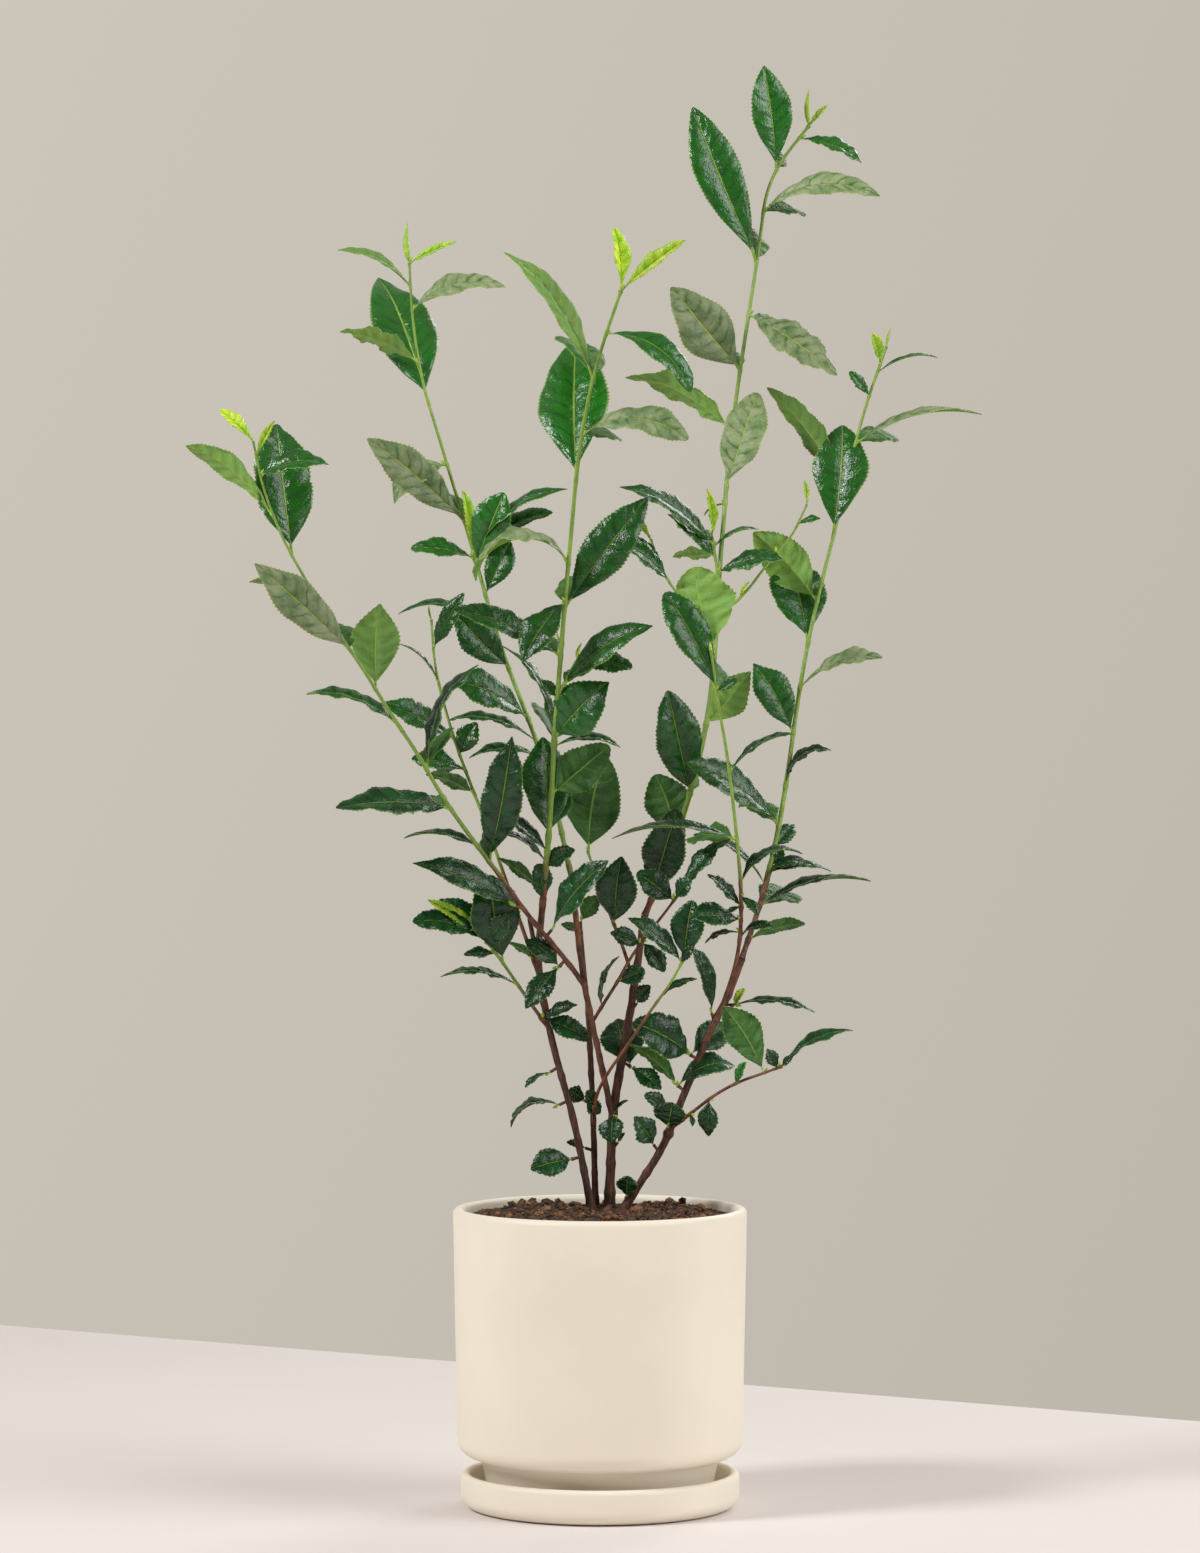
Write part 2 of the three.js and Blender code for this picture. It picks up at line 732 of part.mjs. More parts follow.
// One leaf from `base`, by its row of numbers. `count` numbers the leaves of its shoot.
function leafSolid(base, [, bearing, reach, poseName, width], count) {
  const pose = POSES[poseName]
  const near = pose.near + (pose.swing ?? SWING) * Math.sin(count * GOLDEN_ANGLE)
  const along = heading(bearing, near)
  const toViewer = new THREE.Vector3(0, -1, 0)
  const face = toViewer.addScaledVector(along, -toViewer.dot(along)).normalize()
  const upper = new THREE.Vector3().crossVectors(face, along)
  if (bearing < 0) upper.negate()
  const roll = radians(pose.roll)
  const normal = face.multiplyScalar(Math.cos(roll)).addScaledVector(upper, Math.sin(roll))
  const sideways = new THREE.Vector3().crossVectors(along, normal)
  const bend = radians(Math.max(pose.arch, 1))
  const length = (reach / Math.cos(radians(near))) * (bend / 2 / Math.sin(bend / 2))
  const half = (length * (width ?? pose.width)) / 2
  const thick = Math.max(length * LEAF_THICKNESS, 0.6) / 2

  const rows = reach < SMALL_LEAF || poseName === 'away' ? SMALL_LEAF_ROWS : LEAF_ROWS
  return loft(4, rows.length, (row, across, deep) => {
    const [place, breadth] = rows[row]
    const turn = bend * (0.5 - place)
    const forward = (length * (Math.sin(bend / 2) - Math.sin(turn))) / bend
    const rise = (length * (Math.cos(turn) - Math.cos(bend / 2))) / bend
    const out = new THREE.Vector3()
      .addScaledVector(along, -Math.sin(turn))
      .addScaledVector(normal, Math.cos(turn))
    const spread = Math.max(half * breadth, row < 2 ? 0.5 : 0)
    const lift = Math.abs(across) > 0.5 ? spread * LEAF_FOLD : deep * (row === rows.length - 1 ? 0 : thick)
    return base
      .clone()
      .addScaledVector(along, forward)
      .addScaledVector(normal, rise)
      .addScaledVector(sideways, Math.round(across) * spread)
      .addScaledVector(out, lift)
  })
}

const paths = {}
const limbs = {}
const solids = {}

function addSolid(name, solid) {
  solids[name] = solid
}

// A cane starts below the soil, where `cutter` cuts it off.
function growCane(name, cane, cutter) {
  const [x, y] = cane.foot
  const way = heading(cane.lean[0], cane.near[0])
  const start = new THREE.Vector3(x, y, soilHeight(x, y)).addScaledVector(way, -ROOT)
  limbs[name] = { ...cane, length: cane.length + ROOT, flare: FLARE.extra }
  paths[name] = growPath(start, limbs[name])
  addSolid(name, limbSolid(paths[name], limbs[name], TUBE_SIDES.cane).subtract(cutter))
}

function parentCutter(limb) {
  return limbSolid(paths[limb.from], limbs[limb.from], TUBE_SIDES.cane, CLEAR)
}

function biggestPiece(solid) {
  const pieces = solid.decompose()
  return pieces.reduce((best, piece) => (piece.volume() > best.volume() ? piece : best))
}

function growBough(name, bough) {
  paths[name] = growPath(pointOn(paths[bough.from], bough.at), bough)
  limbs[name] = bough
  addSolid(name, biggestPiece(limbSolid(paths[name], bough, TUBE_SIDES.bough).subtract(parentCutter(bough))))
}

// The bare stem and twigs of a leafy shoot. `sprays` keeps the leaves that they are to bear.
function growStem(name, shoot) {
  const path = growPath(pointOn(paths[shoot.from], shoot.at), shoot)
  let whole = limbSolid(path, shoot, TUBE_SIDES.shoot)
  const sprays = [{ path, leaves: shoot.leaves }]
  for (const twig of shoot.twigs ?? []) {
    const limb = { radii: TWIG_RADII, near: shoot.near, ...twig }
    const twigPath = growPath(pointOn(path, twig.at), limb)
    whole = whole.add(limbSolid(twigPath, limb, TUBE_SIDES.twig))
    sprays.push({ path: twigPath, leaves: twig.leaves })
  }
  addSolid(name, biggestPiece(whole.subtract(parentCutter(shoot))))
  return { name, from: shoot.from, sprays }
}

// Fuses a shoot's leaves on to it. A leaf that would touch another limb or shoot is left out.
function growLeaves({ name, from, sprays }) {
  const others = Object.entries(solids)
    .filter(([other]) => other !== name && other !== from)
    .map(([, solid]) => solid)
  let whole = solids[name]
  let count = 0
  const addLeaf = (path, row) => {
    const leaf = leafSolid(pointOn(path, row[0]), row, count)
    if (!others.some((other) => touches(leaf, other))) whole = whole.add(leaf)
  }
  for (const { path, leaves } of sprays) {
    for (const row of leaves) {
      const [place, bearing, reach, poseName] = row
      count += 1
      addLeaf(path, row)
      if (reach < PARTNER.least || POSES[poseName].near < 0) continue
      addLeaf(path, [place, bearing, reach * PARTNER.reach, 'away'])
    }
  }
  addSolid(name, biggestPiece(whole.subtract(parentCutter({ from }))))
}

// A spur is a shoot that is hardly more than a bud on its parent's bark.
function spurShoot(spur) {
  return {
    length: Math.max(...limbs[spur.from].radii) + SPUR.length,
    radii: [SPUR.radius, SPUR.radius * 0.8],
    lean: [spur.leaves[0][1]],
    near: [SPUR.near],
    ...spur,
  }
}

// ---------------------------------------------------------------- build

addSolid('saucer', makeSaucer())
addSolid('pot', makePot())
addSolid('soil', makeSoil(0))
const soilCutter = makeSoil(CLEAR)
for (const [name, cane] of Object.entries(CANES)) growCane(name, cane, soilCutter)
for (const [name, bough] of Object.entries(BOUGHS)) growBough(name, bough)
const shoots = Object.entries(SHOOTS).map(([name, shoot]) => growStem(name, shoot))
const spurs = SPURS.map((spur, i) => growStem(`spur_${i + 1}`, spurShoot(spur)))
for (const shoot of [...shoots, ...spurs]) growLeaves(shoot)

const FINISH = {
  saucer: { color: COLOURS.pot, roughness: 0.75 },
  pot: { color: COLOURS.pot, roughness: 0.75 },
  soil: { color: COLOURS.soil, roughness: 1 },
  wood: { color: COLOURS.bark, roughness: 0.8 },
  leaf: { color: COLOURS.leaf, roughness: 0.4 },
}

const group = new THREE.Group()
for (const [name, solid] of Object.entries(solids)) {
  const kind = FINISH[name] ? name : limbs[name] ? 'wood' : 'leaf'
  const mesh = new THREE.Mesh(toGeometry(solid), new THREE.MeshStandardMaterial(FINISH[kind]))
  mesh.name = name
  group.add(mesh)
}

export default group
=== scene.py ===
import math

import bmesh
import bpy
import numpy as np
from bpy.props import FloatProperty, FloatVectorProperty, IntProperty, PointerProperty
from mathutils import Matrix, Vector, noise


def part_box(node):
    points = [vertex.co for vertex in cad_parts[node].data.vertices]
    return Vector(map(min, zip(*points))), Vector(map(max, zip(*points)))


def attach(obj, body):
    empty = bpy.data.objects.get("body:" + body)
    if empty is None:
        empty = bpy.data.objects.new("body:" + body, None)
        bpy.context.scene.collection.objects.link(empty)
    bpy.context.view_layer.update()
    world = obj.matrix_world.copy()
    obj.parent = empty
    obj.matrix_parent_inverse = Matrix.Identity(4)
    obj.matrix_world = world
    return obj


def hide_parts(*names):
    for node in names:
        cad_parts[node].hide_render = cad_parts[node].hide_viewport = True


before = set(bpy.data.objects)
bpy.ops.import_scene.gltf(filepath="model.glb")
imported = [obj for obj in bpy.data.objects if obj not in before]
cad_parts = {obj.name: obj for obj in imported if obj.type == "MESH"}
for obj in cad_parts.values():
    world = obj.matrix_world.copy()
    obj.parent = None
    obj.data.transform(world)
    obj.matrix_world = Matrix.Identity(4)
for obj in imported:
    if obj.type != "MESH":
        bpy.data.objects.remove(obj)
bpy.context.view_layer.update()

bl_info = {
    "name": "Potted Tea Bush",
    "version": (1, 0, 0),
    "blender": (4, 5, 0),
    "location": "3D View > Sidebar > Tea Bush",
    "description": "A young tea bush in a round ceramic pot on a saucer",
    "category": "Add Mesh",
}

MM = 0.001

# ------------------------------------------------------------------ sizes taken from the frame

SAUCER_LOW, SAUCER_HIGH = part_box("saucer")
POT_LOW, POT_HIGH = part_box("pot")
SOIL_LOW, SOIL_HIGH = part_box("soil")

POT_RADIUS = (POT_HIGH.x - POT_LOW.x) / 2
SAUCER_RADIUS = (SAUCER_HIGH.x - SAUCER_LOW.x) / 2
SAUCER_HEIGHT = SAUCER_HIGH.z

# ------------------------------------------------------------------ the plant, in millimetres and degrees
#
# A limb leans by the angles in "lean", in degrees from upright, one for each equal stretch of it:
# positive leans to +X. "near" tips it towards -Y in the same way. "length" is how long it looks
# from -Y, and "radii" are its radii at the start and the end.
# A leaf is (place on its stem from 0 to 1, bearing of its tip in degrees from upright, reach from
# stem to tip, pose, width as a share of its length if not the pose's).
# A pose tips a leaf to -Y by "near", rolls it about its length, arches it, folds it along its
# midrib and twists it by up to "twist" degrees.

CANES = {
    "cane_1": {
        "foot": [-5.5, 3], "length": 201, "radii": [2.3, 2.2], "lean": [-10.5, -11.5, -16.5, -13.5, -9, 6],
        "near": [-1],
    },
    "cane_2": {
        "foot": [-3, 17.5], "length": 134, "radii": [2.1, 1.7], "lean": [-1, -1.5, -3, -3], "near": [0, -2],
    },
    "cane_3": {
        "foot": [6, 12], "length": 192, "radii": [3.2, 2.3], "lean": [2, 1.5, 9.5, 10.5, 8.5, 8.5],
        "near": [0, -3],
    },
    "cane_4": {
        "foot": [14.5, 4], "length": 181, "radii": [2.4, 2.4], "lean": [33, 33, 21, 23, 21, 28, 20],
        "near": [2, 0],
    },
}

BOUGHS = {
    "left_bough": {
        "from": "cane_3", "at": 0.33, "length": 187, "radii": [2.1, 1.7],
        "lean": [-12, -12.5, -11, -7.5, -5.5, -12.5], "near": [16, 14, 4, -12, -18, -18],
    },
    "far_left_bough": {
        "from": "left_bough", "at": 0.475, "length": 88, "radii": [1.7, 1.5], "lean": [-36, -40, -39, -34],
        "near": [18, 14, 8],
    },
}

POSES = {
    "broad": {"near": 10, "roll": 12, "arch": 30, "width": 0.4, "fold": 0.16, "twist": 8},
    "face": {"near": 14, "roll": 30, "arch": 40, "width": 0.36, "fold": 0.2, "twist": 10},
    "slant": {"near": 12, "roll": 55, "arch": 38, "width": 0.38, "fold": 0.22, "twist": 12},
    "edge": {"near": 6, "roll": 75, "arch": 50, "width": 0.36, "fold": 0.24, "twist": 14},
    "hook": {"near": 4, "roll": 76, "arch": 95, "width": 0.36, "fold": 0.26, "twist": 22},
    "curl": {"near": 4, "roll": 70, "arch": 150, "width": 0.4, "fold": 0.3, "twist": 30},
    "sweep": {"near": 8, "roll": 50, "arch": 80, "width": 0.36, "fold": 0.22, "twist": 16},
    "under": {"near": -8, "roll": 168, "arch": 35, "width": 0.42, "fold": 0.14, "twist": 8},
    "lift": {"near": -6, "roll": 122, "arch": 35, "width": 0.38, "fold": 0.18, "twist": 12},
    "back": {"near": -26, "roll": 14, "arch": 25, "width": 0.43, "fold": 0.14, "twist": 8},
    "young": {"near": 6, "roll": 40, "arch": 15, "width": 0.22, "fold": 0.7, "twist": 12},
    "bud": {"near": 0, "roll": 0, "arch": 0, "width": 0.16, "fold": 1.2, "twist": 0},
    "away": {"near": -58, "roll": 58, "arch": 30, "width": 0.4, "swing": 5, "fold": 0.16, "twist": 10},
}

SHOOTS = {
    "tall_shoot": {
        "from": "cane_3", "at": 1, "length": 543, "radii": [2, 1],
        "lean": [23, 18, 13, 6, 3, 5, 5, 8, 9, 9, 7, 38], "near": [-8, -14, -12],
        "leaves": [
            (0.02, 16, 62, "broad", 0.36), (0.1, -18, 43, "under", 0.55), (0.155, -12, 69, "broad", 0.38),
            (0.24, 39, 46, "under", 0.5), (0.51, -119, 16, "edge"), (0.53, 18, 68, "back", 0.38),
            (0.6, -60, 80, "lift"), (0.675, -40, 71, "broad", 0.46), (0.745, 126, 71, "face", 0.34),
            (0.81, -22, 113, "broad", 0.3), (0.875, 84, 77, "sweep", 0.26), (0.93, -7, 70, "broad", 0.38),
            (0.98, 112, 45, "slant"), (1, 0, 25, "bud"), (1, 41, 19, "young"),
        ],
        "twigs": [
            {
                "at": 0.41, "length": 32, "lean": [-6, -8],
                "leaves": [
                    (0.25, 78, 43, "slant", 0.45), (0.55, -47, 43, "slant", 0.42),
                    (0.6, -90, 28, "lift", 0.5), (0.8, -57, 73, "slant", 0.3), (0.8, 67, 32, "edge"),
                    (1, -7, 32, "young"),
                ],
            },
            {
                "at": 0.35, "length": 77, "lean": [-45, -38, -19],
                "leaves": [(0.6, -52, 46, "slant", 0.4), (0.65, -40, 36, "edge"), (1, -40, 27, "young")],
            },
            {
                "at": 0.37, "length": 97, "lean": [50, 36, 43, 25],
                "leaves": [
                    (0.2, 30, 13, "young"), (0.6, -90, 15, "slant"), (0.85, 75, 15, "slant"),
                    (1, -5, 16, "young"),
                ],
            },
        ],
    },
    "right_shoot": {
        "from": "cane_4", "at": 1, "length": 414, "radii": [1.8, 0.9],
        "lean": [19.5, 14, 10, 8, 10, 13, 15, 13, 15, 20], "near": [-14, -12, -8],
        "leaves": [
            (0.03, 72, 39, "lift", 0.36), (0.085, 77, 75, "edge", 0.25), (0.12, -53, 58, "edge", 0.2),
            (0.13, 66, 27, "hook"), (0.14, 88, 41, "edge"), (0.15, 30, 16, "back", 0.5),
            (0.18, 42, 21, "back", 0.4), (0.215, -56, 75, "slant", 0.36), (0.28, 51, 38, "hook"),
            (0.362, -29, 53, "broad", 0.42), (0.436, 68, 57, "edge"), (0.508, -14, 60, "back", 0.5),
            (0.575, -42, 62, "under", 0.44), (0.685, 5, 75, "back", 0.44), (0.757, -35, 86, "lift", 0.34),
            (0.835, 77, 84, "edge", 0.3), (0.915, -40, 21, "face"), (0.955, 74, 42, "edge", 0.2),
            (0.97, -16, 21, "young", 0.4), (1, 15, 14, "bud"),
        ],
    },
    "fork_shoot": {
        "from": "cane_4", "at": 0.68, "length": 258, "radii": [1.4, 0.9],
        "lean": [23.5, 15.5, 2, -4.5, -6.5, -7.5, -10.5, -8], "near": [28, 20, 14],
        "leaves": [
            (0.28, 67, 22, "hook"), (0.3, -107, 24, "edge"), (0.33, -85, 31, "slant", 0.6),
            (0.36, -43, 31, "slant"), (0.365, -118, 12, "slant"), (0.39, 137, 16, "face"),
            (0.42, 63, 45, "hook", 0.34), (0.53, -88, 80, "edge", 0.3), (0.7, 58, 48, "edge", 0.3),
            (0.9, -27, 71, "face", 0.34), (0.9, 60, 15, "face"), (1, -11, 54, "under", 0.72),
        ],
    },
    "centre_shoot": {
        "from": "cane_1", "at": 1, "length": 393, "radii": [1.9, 1],
        "lean": [5.5, 4, 3, 5, 4.5, 5.5, 5, 8, 14, 19.5], "near": [24, 18, 12],
        "leaves": [
            (0.01, -8, 24, "face", 0.5), (0.023, -54, 37, "lift", 0.32), (0.065, 57, 22, "face", 0.5),
            (0.073, -59, 41, "edge"), (0.09, -49, 38, "slant", 0.34), (0.111, -3, 67, "back", 0.42),
            (0.12, 15, 34, "back", 0.45), (0.186, 50, 49, "under", 0.5), (0.265, 89, 43, "edge"),
            (0.27, -26, 72, "edge", 0.25), (0.28, 44, 49, "broad", 0.56), (0.344, -40, 15, "face", 0.5),
            (0.41, -65, 74, "slant", 0.3), (0.43, -20, 10, "bud"), (0.488, 37, 88, "broad", 0.34),
            (0.5, -146, 48, "face", 0.42), (0.56, -100, 61, "curl", 0.4), (0.692, 0, 96, "back", 0.4),
            (0.765, 93, 67, "sweep", 0.28), (0.855, -33, 98, "slant", 0.3), (0.93, 125, 65, "sweep", 0.3),
            (1, 53, 50, "young"), (1, -5, 41, "young", 0.3),
        ],
        "twigs": [
            {
                "at": 0.344, "length": 26, "lean": [25, 30],
                "leaves": [(0.3, 54, 69, "slant", 0.36), (1, 96, 36, "face", 0.4), (1, 15, 12, "young")],
            },
        ],
    },
    "left_shoot": {
        "from": "left_bough", "at": 1, "length": 392, "radii": [1.7, 0.8],
        "lean": [-13, -20, -22, -17.5, -15.5, -17, -17, -17, -9, -3], "near": [-16, -10, -4],
        "leaves": [
            (0.13, -88, 48, "edge"), (0.16, -75, 60, "edge", 0.25), (0.2, -62, 54, "slant", 0.5),
            (0.29, -44, 51, "broad", 0.45), (0.365, -95, 41, "edge"), (0.373, -83, 63, "edge", 0.25),
            (0.42, 25, 39, "broad", 0.46), (0.55, -49, 83, "broad", 0.33), (0.65, -126, 44, "sweep", 0.6),
            (0.76, -21, 100, "back", 0.35), (0.83, -68, 56, "lift", 0.42), (0.92, 77, 64, "sweep", 0.32),
            (0.96, -63, 54, "edge"), (1, 67, 34, "young", 0.18), (1, -3, 28, "bud"),
        ],
        "twigs": [
            {
                "at": 0.42, "length": 27, "lean": [-18, -18],
                "leaves": [
                    (0.8, 22, 50, "broad", 0.48), (0.9, 57, 61, "slant", 0.33),
                    (0.95, -81, 42, "slant", 0.45), (1, 53, 77, "edge", 0.25), (1, -8, 44, "young"),
                ],
            },
        ],
    },
    "far_left_shoot": {
        "from": "far_left_bough", "at": 1, "length": 318, "radii": [1.5, 0.7],
        "lean": [-36.5, -34.5, -29, -33.5, -30.5, -34.5, -30.5, -29.5, -21, -11.5], "near": [20, 16, 10],
        "leaves": [
            (0.04, 10, 82, "broad", 0.34), (0.08, -83, 48, "edge"), (0.172, -89, 72, "slant", 0.34),
            (0.265, 25, 75, "edge"), (0.29, -30, 10, "bud"), (0.36, -20, 8, "bud"),
            (0.372, -71, 62, "edge"), (0.455, 3, 54, "under", 0.52), (0.543, -47, 81, "broad", 0.33),
            (0.655, -71, 48, "lift", 0.45), (0.765, -7, 85, "back", 0.46), (0.845, -50, 73, "lift", 0.28),
            (0.93, 80, 44, "sweep", 0.42), (0.97, 29, 25, "young"), (1, -46, 29, "young", 0.3),
        ],
    },
    "thin_left_shoot": {
        "from": "cane_1", "at": 0.77, "length": 245, "radii": [1.4, 0.8],
        "lean": [-19.5, -19.5, -19, -21, -21.5, -18, -14, -4], "near": [-10, -10, -6],
        "leaves": [
            (0.05, -52, 20, "lift", 0.4), (0.43, 32, 31, "face", 0.34), (0.52, -68, 34, "lift", 0.5),
            (0.585, -77, 36, "slant", 0.5), (0.63, 27, 24, "broad", 0.58), (0.67, -63, 53, "slant", 0.34),
            (0.8, 60, 10, "face"), (0.83, -45, 37, "edge", 0.2), (0.92, 29, 42, "face", 0.3),
            (1, -10, 10, "bud"),
        ],
    },
    "low_left_shoot": {
        "from": "cane_1", "at": 0.61, "length": 71, "radii": [1.3, 0.9], "lean": [-35, -34, -33, -37],
        "near": [24, 16, 12],
        "leaves": [
            (0.12, 67, 25, "slant", 0.45), (0.12, 113, 34, "face", 0.4), (0.5, -83, 50, "edge", 0.3),
            (0.75, -8, 58, "broad", 0.5), (0.85, -90, 21, "slant", 0.5), (0.97, 34, 23, "broad", 0.5),
            (1, -47, 41, "face", 0.4), (1, -54, 46, "young", 0.18), (1, -73, 49, "slant", 0.34),
        ],
    },
    "low_right_shoot": {
        "from": "cane_4", "at": 0.36, "length": 84, "radii": [1.2, 0.8], "lean": [50, 48, 52, 61, 69, 68],
        "near": [40, 30, 22],
        "leaves": [
            (0.2, 170, 8, "face"), (0.39, -178, 24, "face", 0.55), (0.62, 24, 16, "young", 0.4),
            (0.86, -32, 50, "under", 0.42), (0.96, -27, 14, "face", 0.6), (1, 45, 10, "face"),
            (1, 63, 51, "edge", 0.3),
        ],
    },
    "high_cross_shoot": {
        "from": "cane_2", "at": 0.88, "length": 108, "radii": [1.2, 0.8], "lean": [30, 32, 27, 36, 38, 36],
        "near": [30, 18, 14],
        "leaves": [
            (0.15, 17, 36, "edge"), (0.33, 65, 20, "broad", 0.55), (0.6, -68, 21, "face", 0.5),
            (0.62, 143, 24, "face", 0.5), (0.93, -52, 30, "face", 0.6), (0.95, 40, 16, "face", 0.6),
            (1, 42, 49, "slant", 0.34),
        ],
    },
    "low_cross_shoot": {
        "from": "cane_2", "at": 0.43, "length": 127, "radii": [1.2, 0.8],
        "lean": [2, 25, 35, 33, 33, 36, 28], "near": [36, 24, 14],
        "leaves": [
            (0.1, -25, 12, "face", 0.6), (0.74, 60, 30, "edge", 0.3), (0.97, 34, 15, "face"),
            (0.98, -50, 45, "slant", 0.4), (1, 8, 38, "broad", 0.5),
        ],
    },
    "inner_shoot": {
        "from": "cane_3", "at": 0.77, "length": 91, "radii": [1.3, 0.9], "lean": [-16, -22, -21, -18.5],
        "near": [-16, -12],
        "leaves": [(0.45, 6, 45, "broad", 0.5), (1, 10, 63, "under", 0.5)],
    },
    "back_shoot": {
        "from": "cane_2", "at": 1, "length": 52, "radii": [1.3, 0.8], "lean": [-5, -5], "near": [-14],
        "leaves": [(0.85, -65, 15, "lift", 0.6), (1, 35, 20, "under", 0.5)],
    },
}

SPURS = [
    {"from": "cane_1", "at": 0.2, "leaves": [(1, -102, 27, "face", 0.6), (1, -76, 22, "young")]},
    {"from": "cane_1", "at": 0.38, "leaves": [(1, -113, 35, "hook", 0.4)]},
    {"from": "cane_1", "at": 0.49, "leaves": [(1, -121, 19, "edge")]},
    {"from": "cane_2", "at": 0.31, "leaves": [(1, -70, 13, "face")]},
    {"from": "cane_2", "at": 0.52, "leaves": [(1, -55, 13, "face", 0.7), (1, 130, 13, "face", 0.8)]},
    {"from": "cane_3", "at": 0.22, "leaves": [(1, 35, 8, "young", 0.4)]},
    {"from": "cane_3", "at": 0.38, "leaves": [(1, -176, 18, "face", 0.8), (1, 45, 13, "edge")]},
    {"from": "cane_3", "at": 0.52, "leaves": [(1, 125, 24, "face", 0.45), (1, -16, 31, "back", 0.65)]},
    {"from": "cane_3", "at": 0.68, "leaves": [(1, 36, 15, "face", 0.6)]},
    {
        "from": "far_left_bough", "at": 0.24,
        "leaves": [(1, -140, 34, "face", 0.4), (1, -52, 28, "face", 0.5)],
    },
    {"from": "far_left_bough", "at": 0.46, "leaves": [(1, 39, 58, "slant", 0.38)]},
    {"from": "far_left_bough", "at": 0.72, "leaves": [(1, -66, 71, "slant", 0.34)]},
    {"from": "cane_4", "at": 0.05, "leaves": [(1, 5, 14, "broad", 0.8)]},
    {"from": "cane_4", "at": 0.27, "leaves": [(1, -34, 23, "face", 0.6)]},
    {"from": "cane_4", "at": 0.33, "leaves": [(1, 8, 17, "broad", 1.1)]},
    {"from": "cane_4", "at": 0.42, "leaves": [(1, -59, 18, "face", 0.5)]},
    {"from": "cane_4", "at": 0.5, "leaves": [(1, -50, 44, "lift", 0.42), (1, 70, 40, "sweep", 0.46)]},
    {"from": "cane_4", "at": 0.62, "leaves": [(1, -59, 43, "face", 0.55), (1, 55, 32, "back", 0.45)]},
    {"from": "cane_4", "at": 0.83, "leaves": [(1, 94, 52, "edge", 0.25), (1, 33, 13, "young", 0.4)]},
    {"from": "cane_4", "at": 0.76, "leaves": [(1, -17, 47, "slant", 0.36)]},
]

SPUR = {"length": 4, "radii": (1, 0.8), "near": 25}
TWIG_RADII = (1, 0.7)
STUB = {"from": "cane_1", "at": 0.8, "length": 34, "radii": (1.9, 1.4), "lean": -11, "near": -6}
SWING = 14  # leaves also tip to and fro by their pose's swing or this, a golden angle apart
GOLDEN_ANGLE = 2.399963
PARTNER = {"least": 66, "reach": 0.37}  # a long leaf hides another, tipped away behind it
PATH_STEPS = 96
LOOK_AHEAD = 0.02
ROOT = 6  # how far a cane runs on below the soil
SOIL_SHAPE = {
    "top": 190.4,
    "edge": 186.6,
    "plateau": 26,
    "mounds": [(-46, 34, 26, 3.2), (47, 30, 24, 4.6)],  # x, y, radius and height
}

# ------------------------------------------------------------------ how it grows


def blend(values, place):
    """The value of a short list at a place from 0 to 1, blended between its entries."""
    spot = min(max(place * len(values) - 0.5, 0), len(values) - 1)
    low = int(spot)
    high = min(low + 1, len(values) - 1)
    return values[low] + (values[high] - values[low]) * (spot - low)


def heading(lean, near):
    """The direction that leans to +X and to -Y from upright by these angles."""
    a, b = math.radians(lean), math.radians(near)
    return np.array([math.sin(a) * math.cos(b), -math.sin(b), math.cos(a) * math.cos(b)])


def unit(vector):
    return vector / np.linalg.norm(vector)


def smooth(value, low, high):
    """0 below low, 1 above high, and a smooth rise between them."""
    share = np.clip((value - low) / (high - low), 0, 1)
    return share * share * (3 - 2 * share)


def soil_height(x, y):
    """The soil's level, in millimetres, at a place on it."""
    rim = bpy.context.scene.tea_bush_pot.wall / MM
    out = smooth(math.hypot(x, y), SOIL_SHAPE["plateau"], POT_RADIUS / MM - rim)
    height = SOIL_SHAPE["top"] + (SOIL_SHAPE["edge"] - SOIL_SHAPE["top"]) * out
    for mound_x, mound_y, radius, rise in SOIL_SHAPE["mounds"]:
        height += rise * math.exp(-2 * math.hypot(x - mound_x, y - mound_y) ** 2 / radius**2)
    return height


def grow_path(start, limb):
    """A limb's middle line, as points at equal steps from its start."""
    step = limb["length"] / PATH_STEPS
    path = [np.array(start, float)]
    for i in range(PATH_STEPS):
        place = (i + 0.5) / PATH_STEPS
        near = blend(limb["near"], place)
        way = heading(blend(limb["lean"], place), near)
        path.append(path[-1] + way * step / math.cos(math.radians(near)))
    return np.array(path)


def point_on(path, place):
    spot = min(max(place, 0), 1) * PATH_STEPS
    low = min(int(spot), PATH_STEPS - 1)
    return path[low] + (path[low + 1] - path[low]) * (spot - low)


def way_on(path, place):
    return unit(point_on(path, min(place + LOOK_AHEAD, 1)) - point_on(path, max(place - LOOK_AHEAD, 0)))


def grow_limbs():
    """The canes and boughs, each with its middle line."""
    limbs = {}
    for name, cane in CANES.items():
        x, y = cane["foot"]
        start = np.array([x, y, soil_height(x, y)]) - heading(cane["lean"][0], cane["near"][0]) * ROOT
        limbs[name] = {**cane, "length": cane["length"] + ROOT}
        limbs[name]["path"] = grow_path(start, limbs[name])
    for name, bough in BOUGHS.items():
        start = point_on(limbs[bough["from"]]["path"], bough["at"])
        limbs[name] = {**bough, "path": grow_path(start, bough)}
    return limbs


def spur_shoot(spur, limbs):
    """A spur as a shoot that is hardly more than a bud on its parent's bark."""
    return {
        "length": max(limbs[spur["from"]]["radii"]) + SPUR["length"],
        "radii": SPUR["radii"],
        "lean": [spur["leaves"][0][1]],
        "near": [SPUR["near"]],
        **spur,
    }


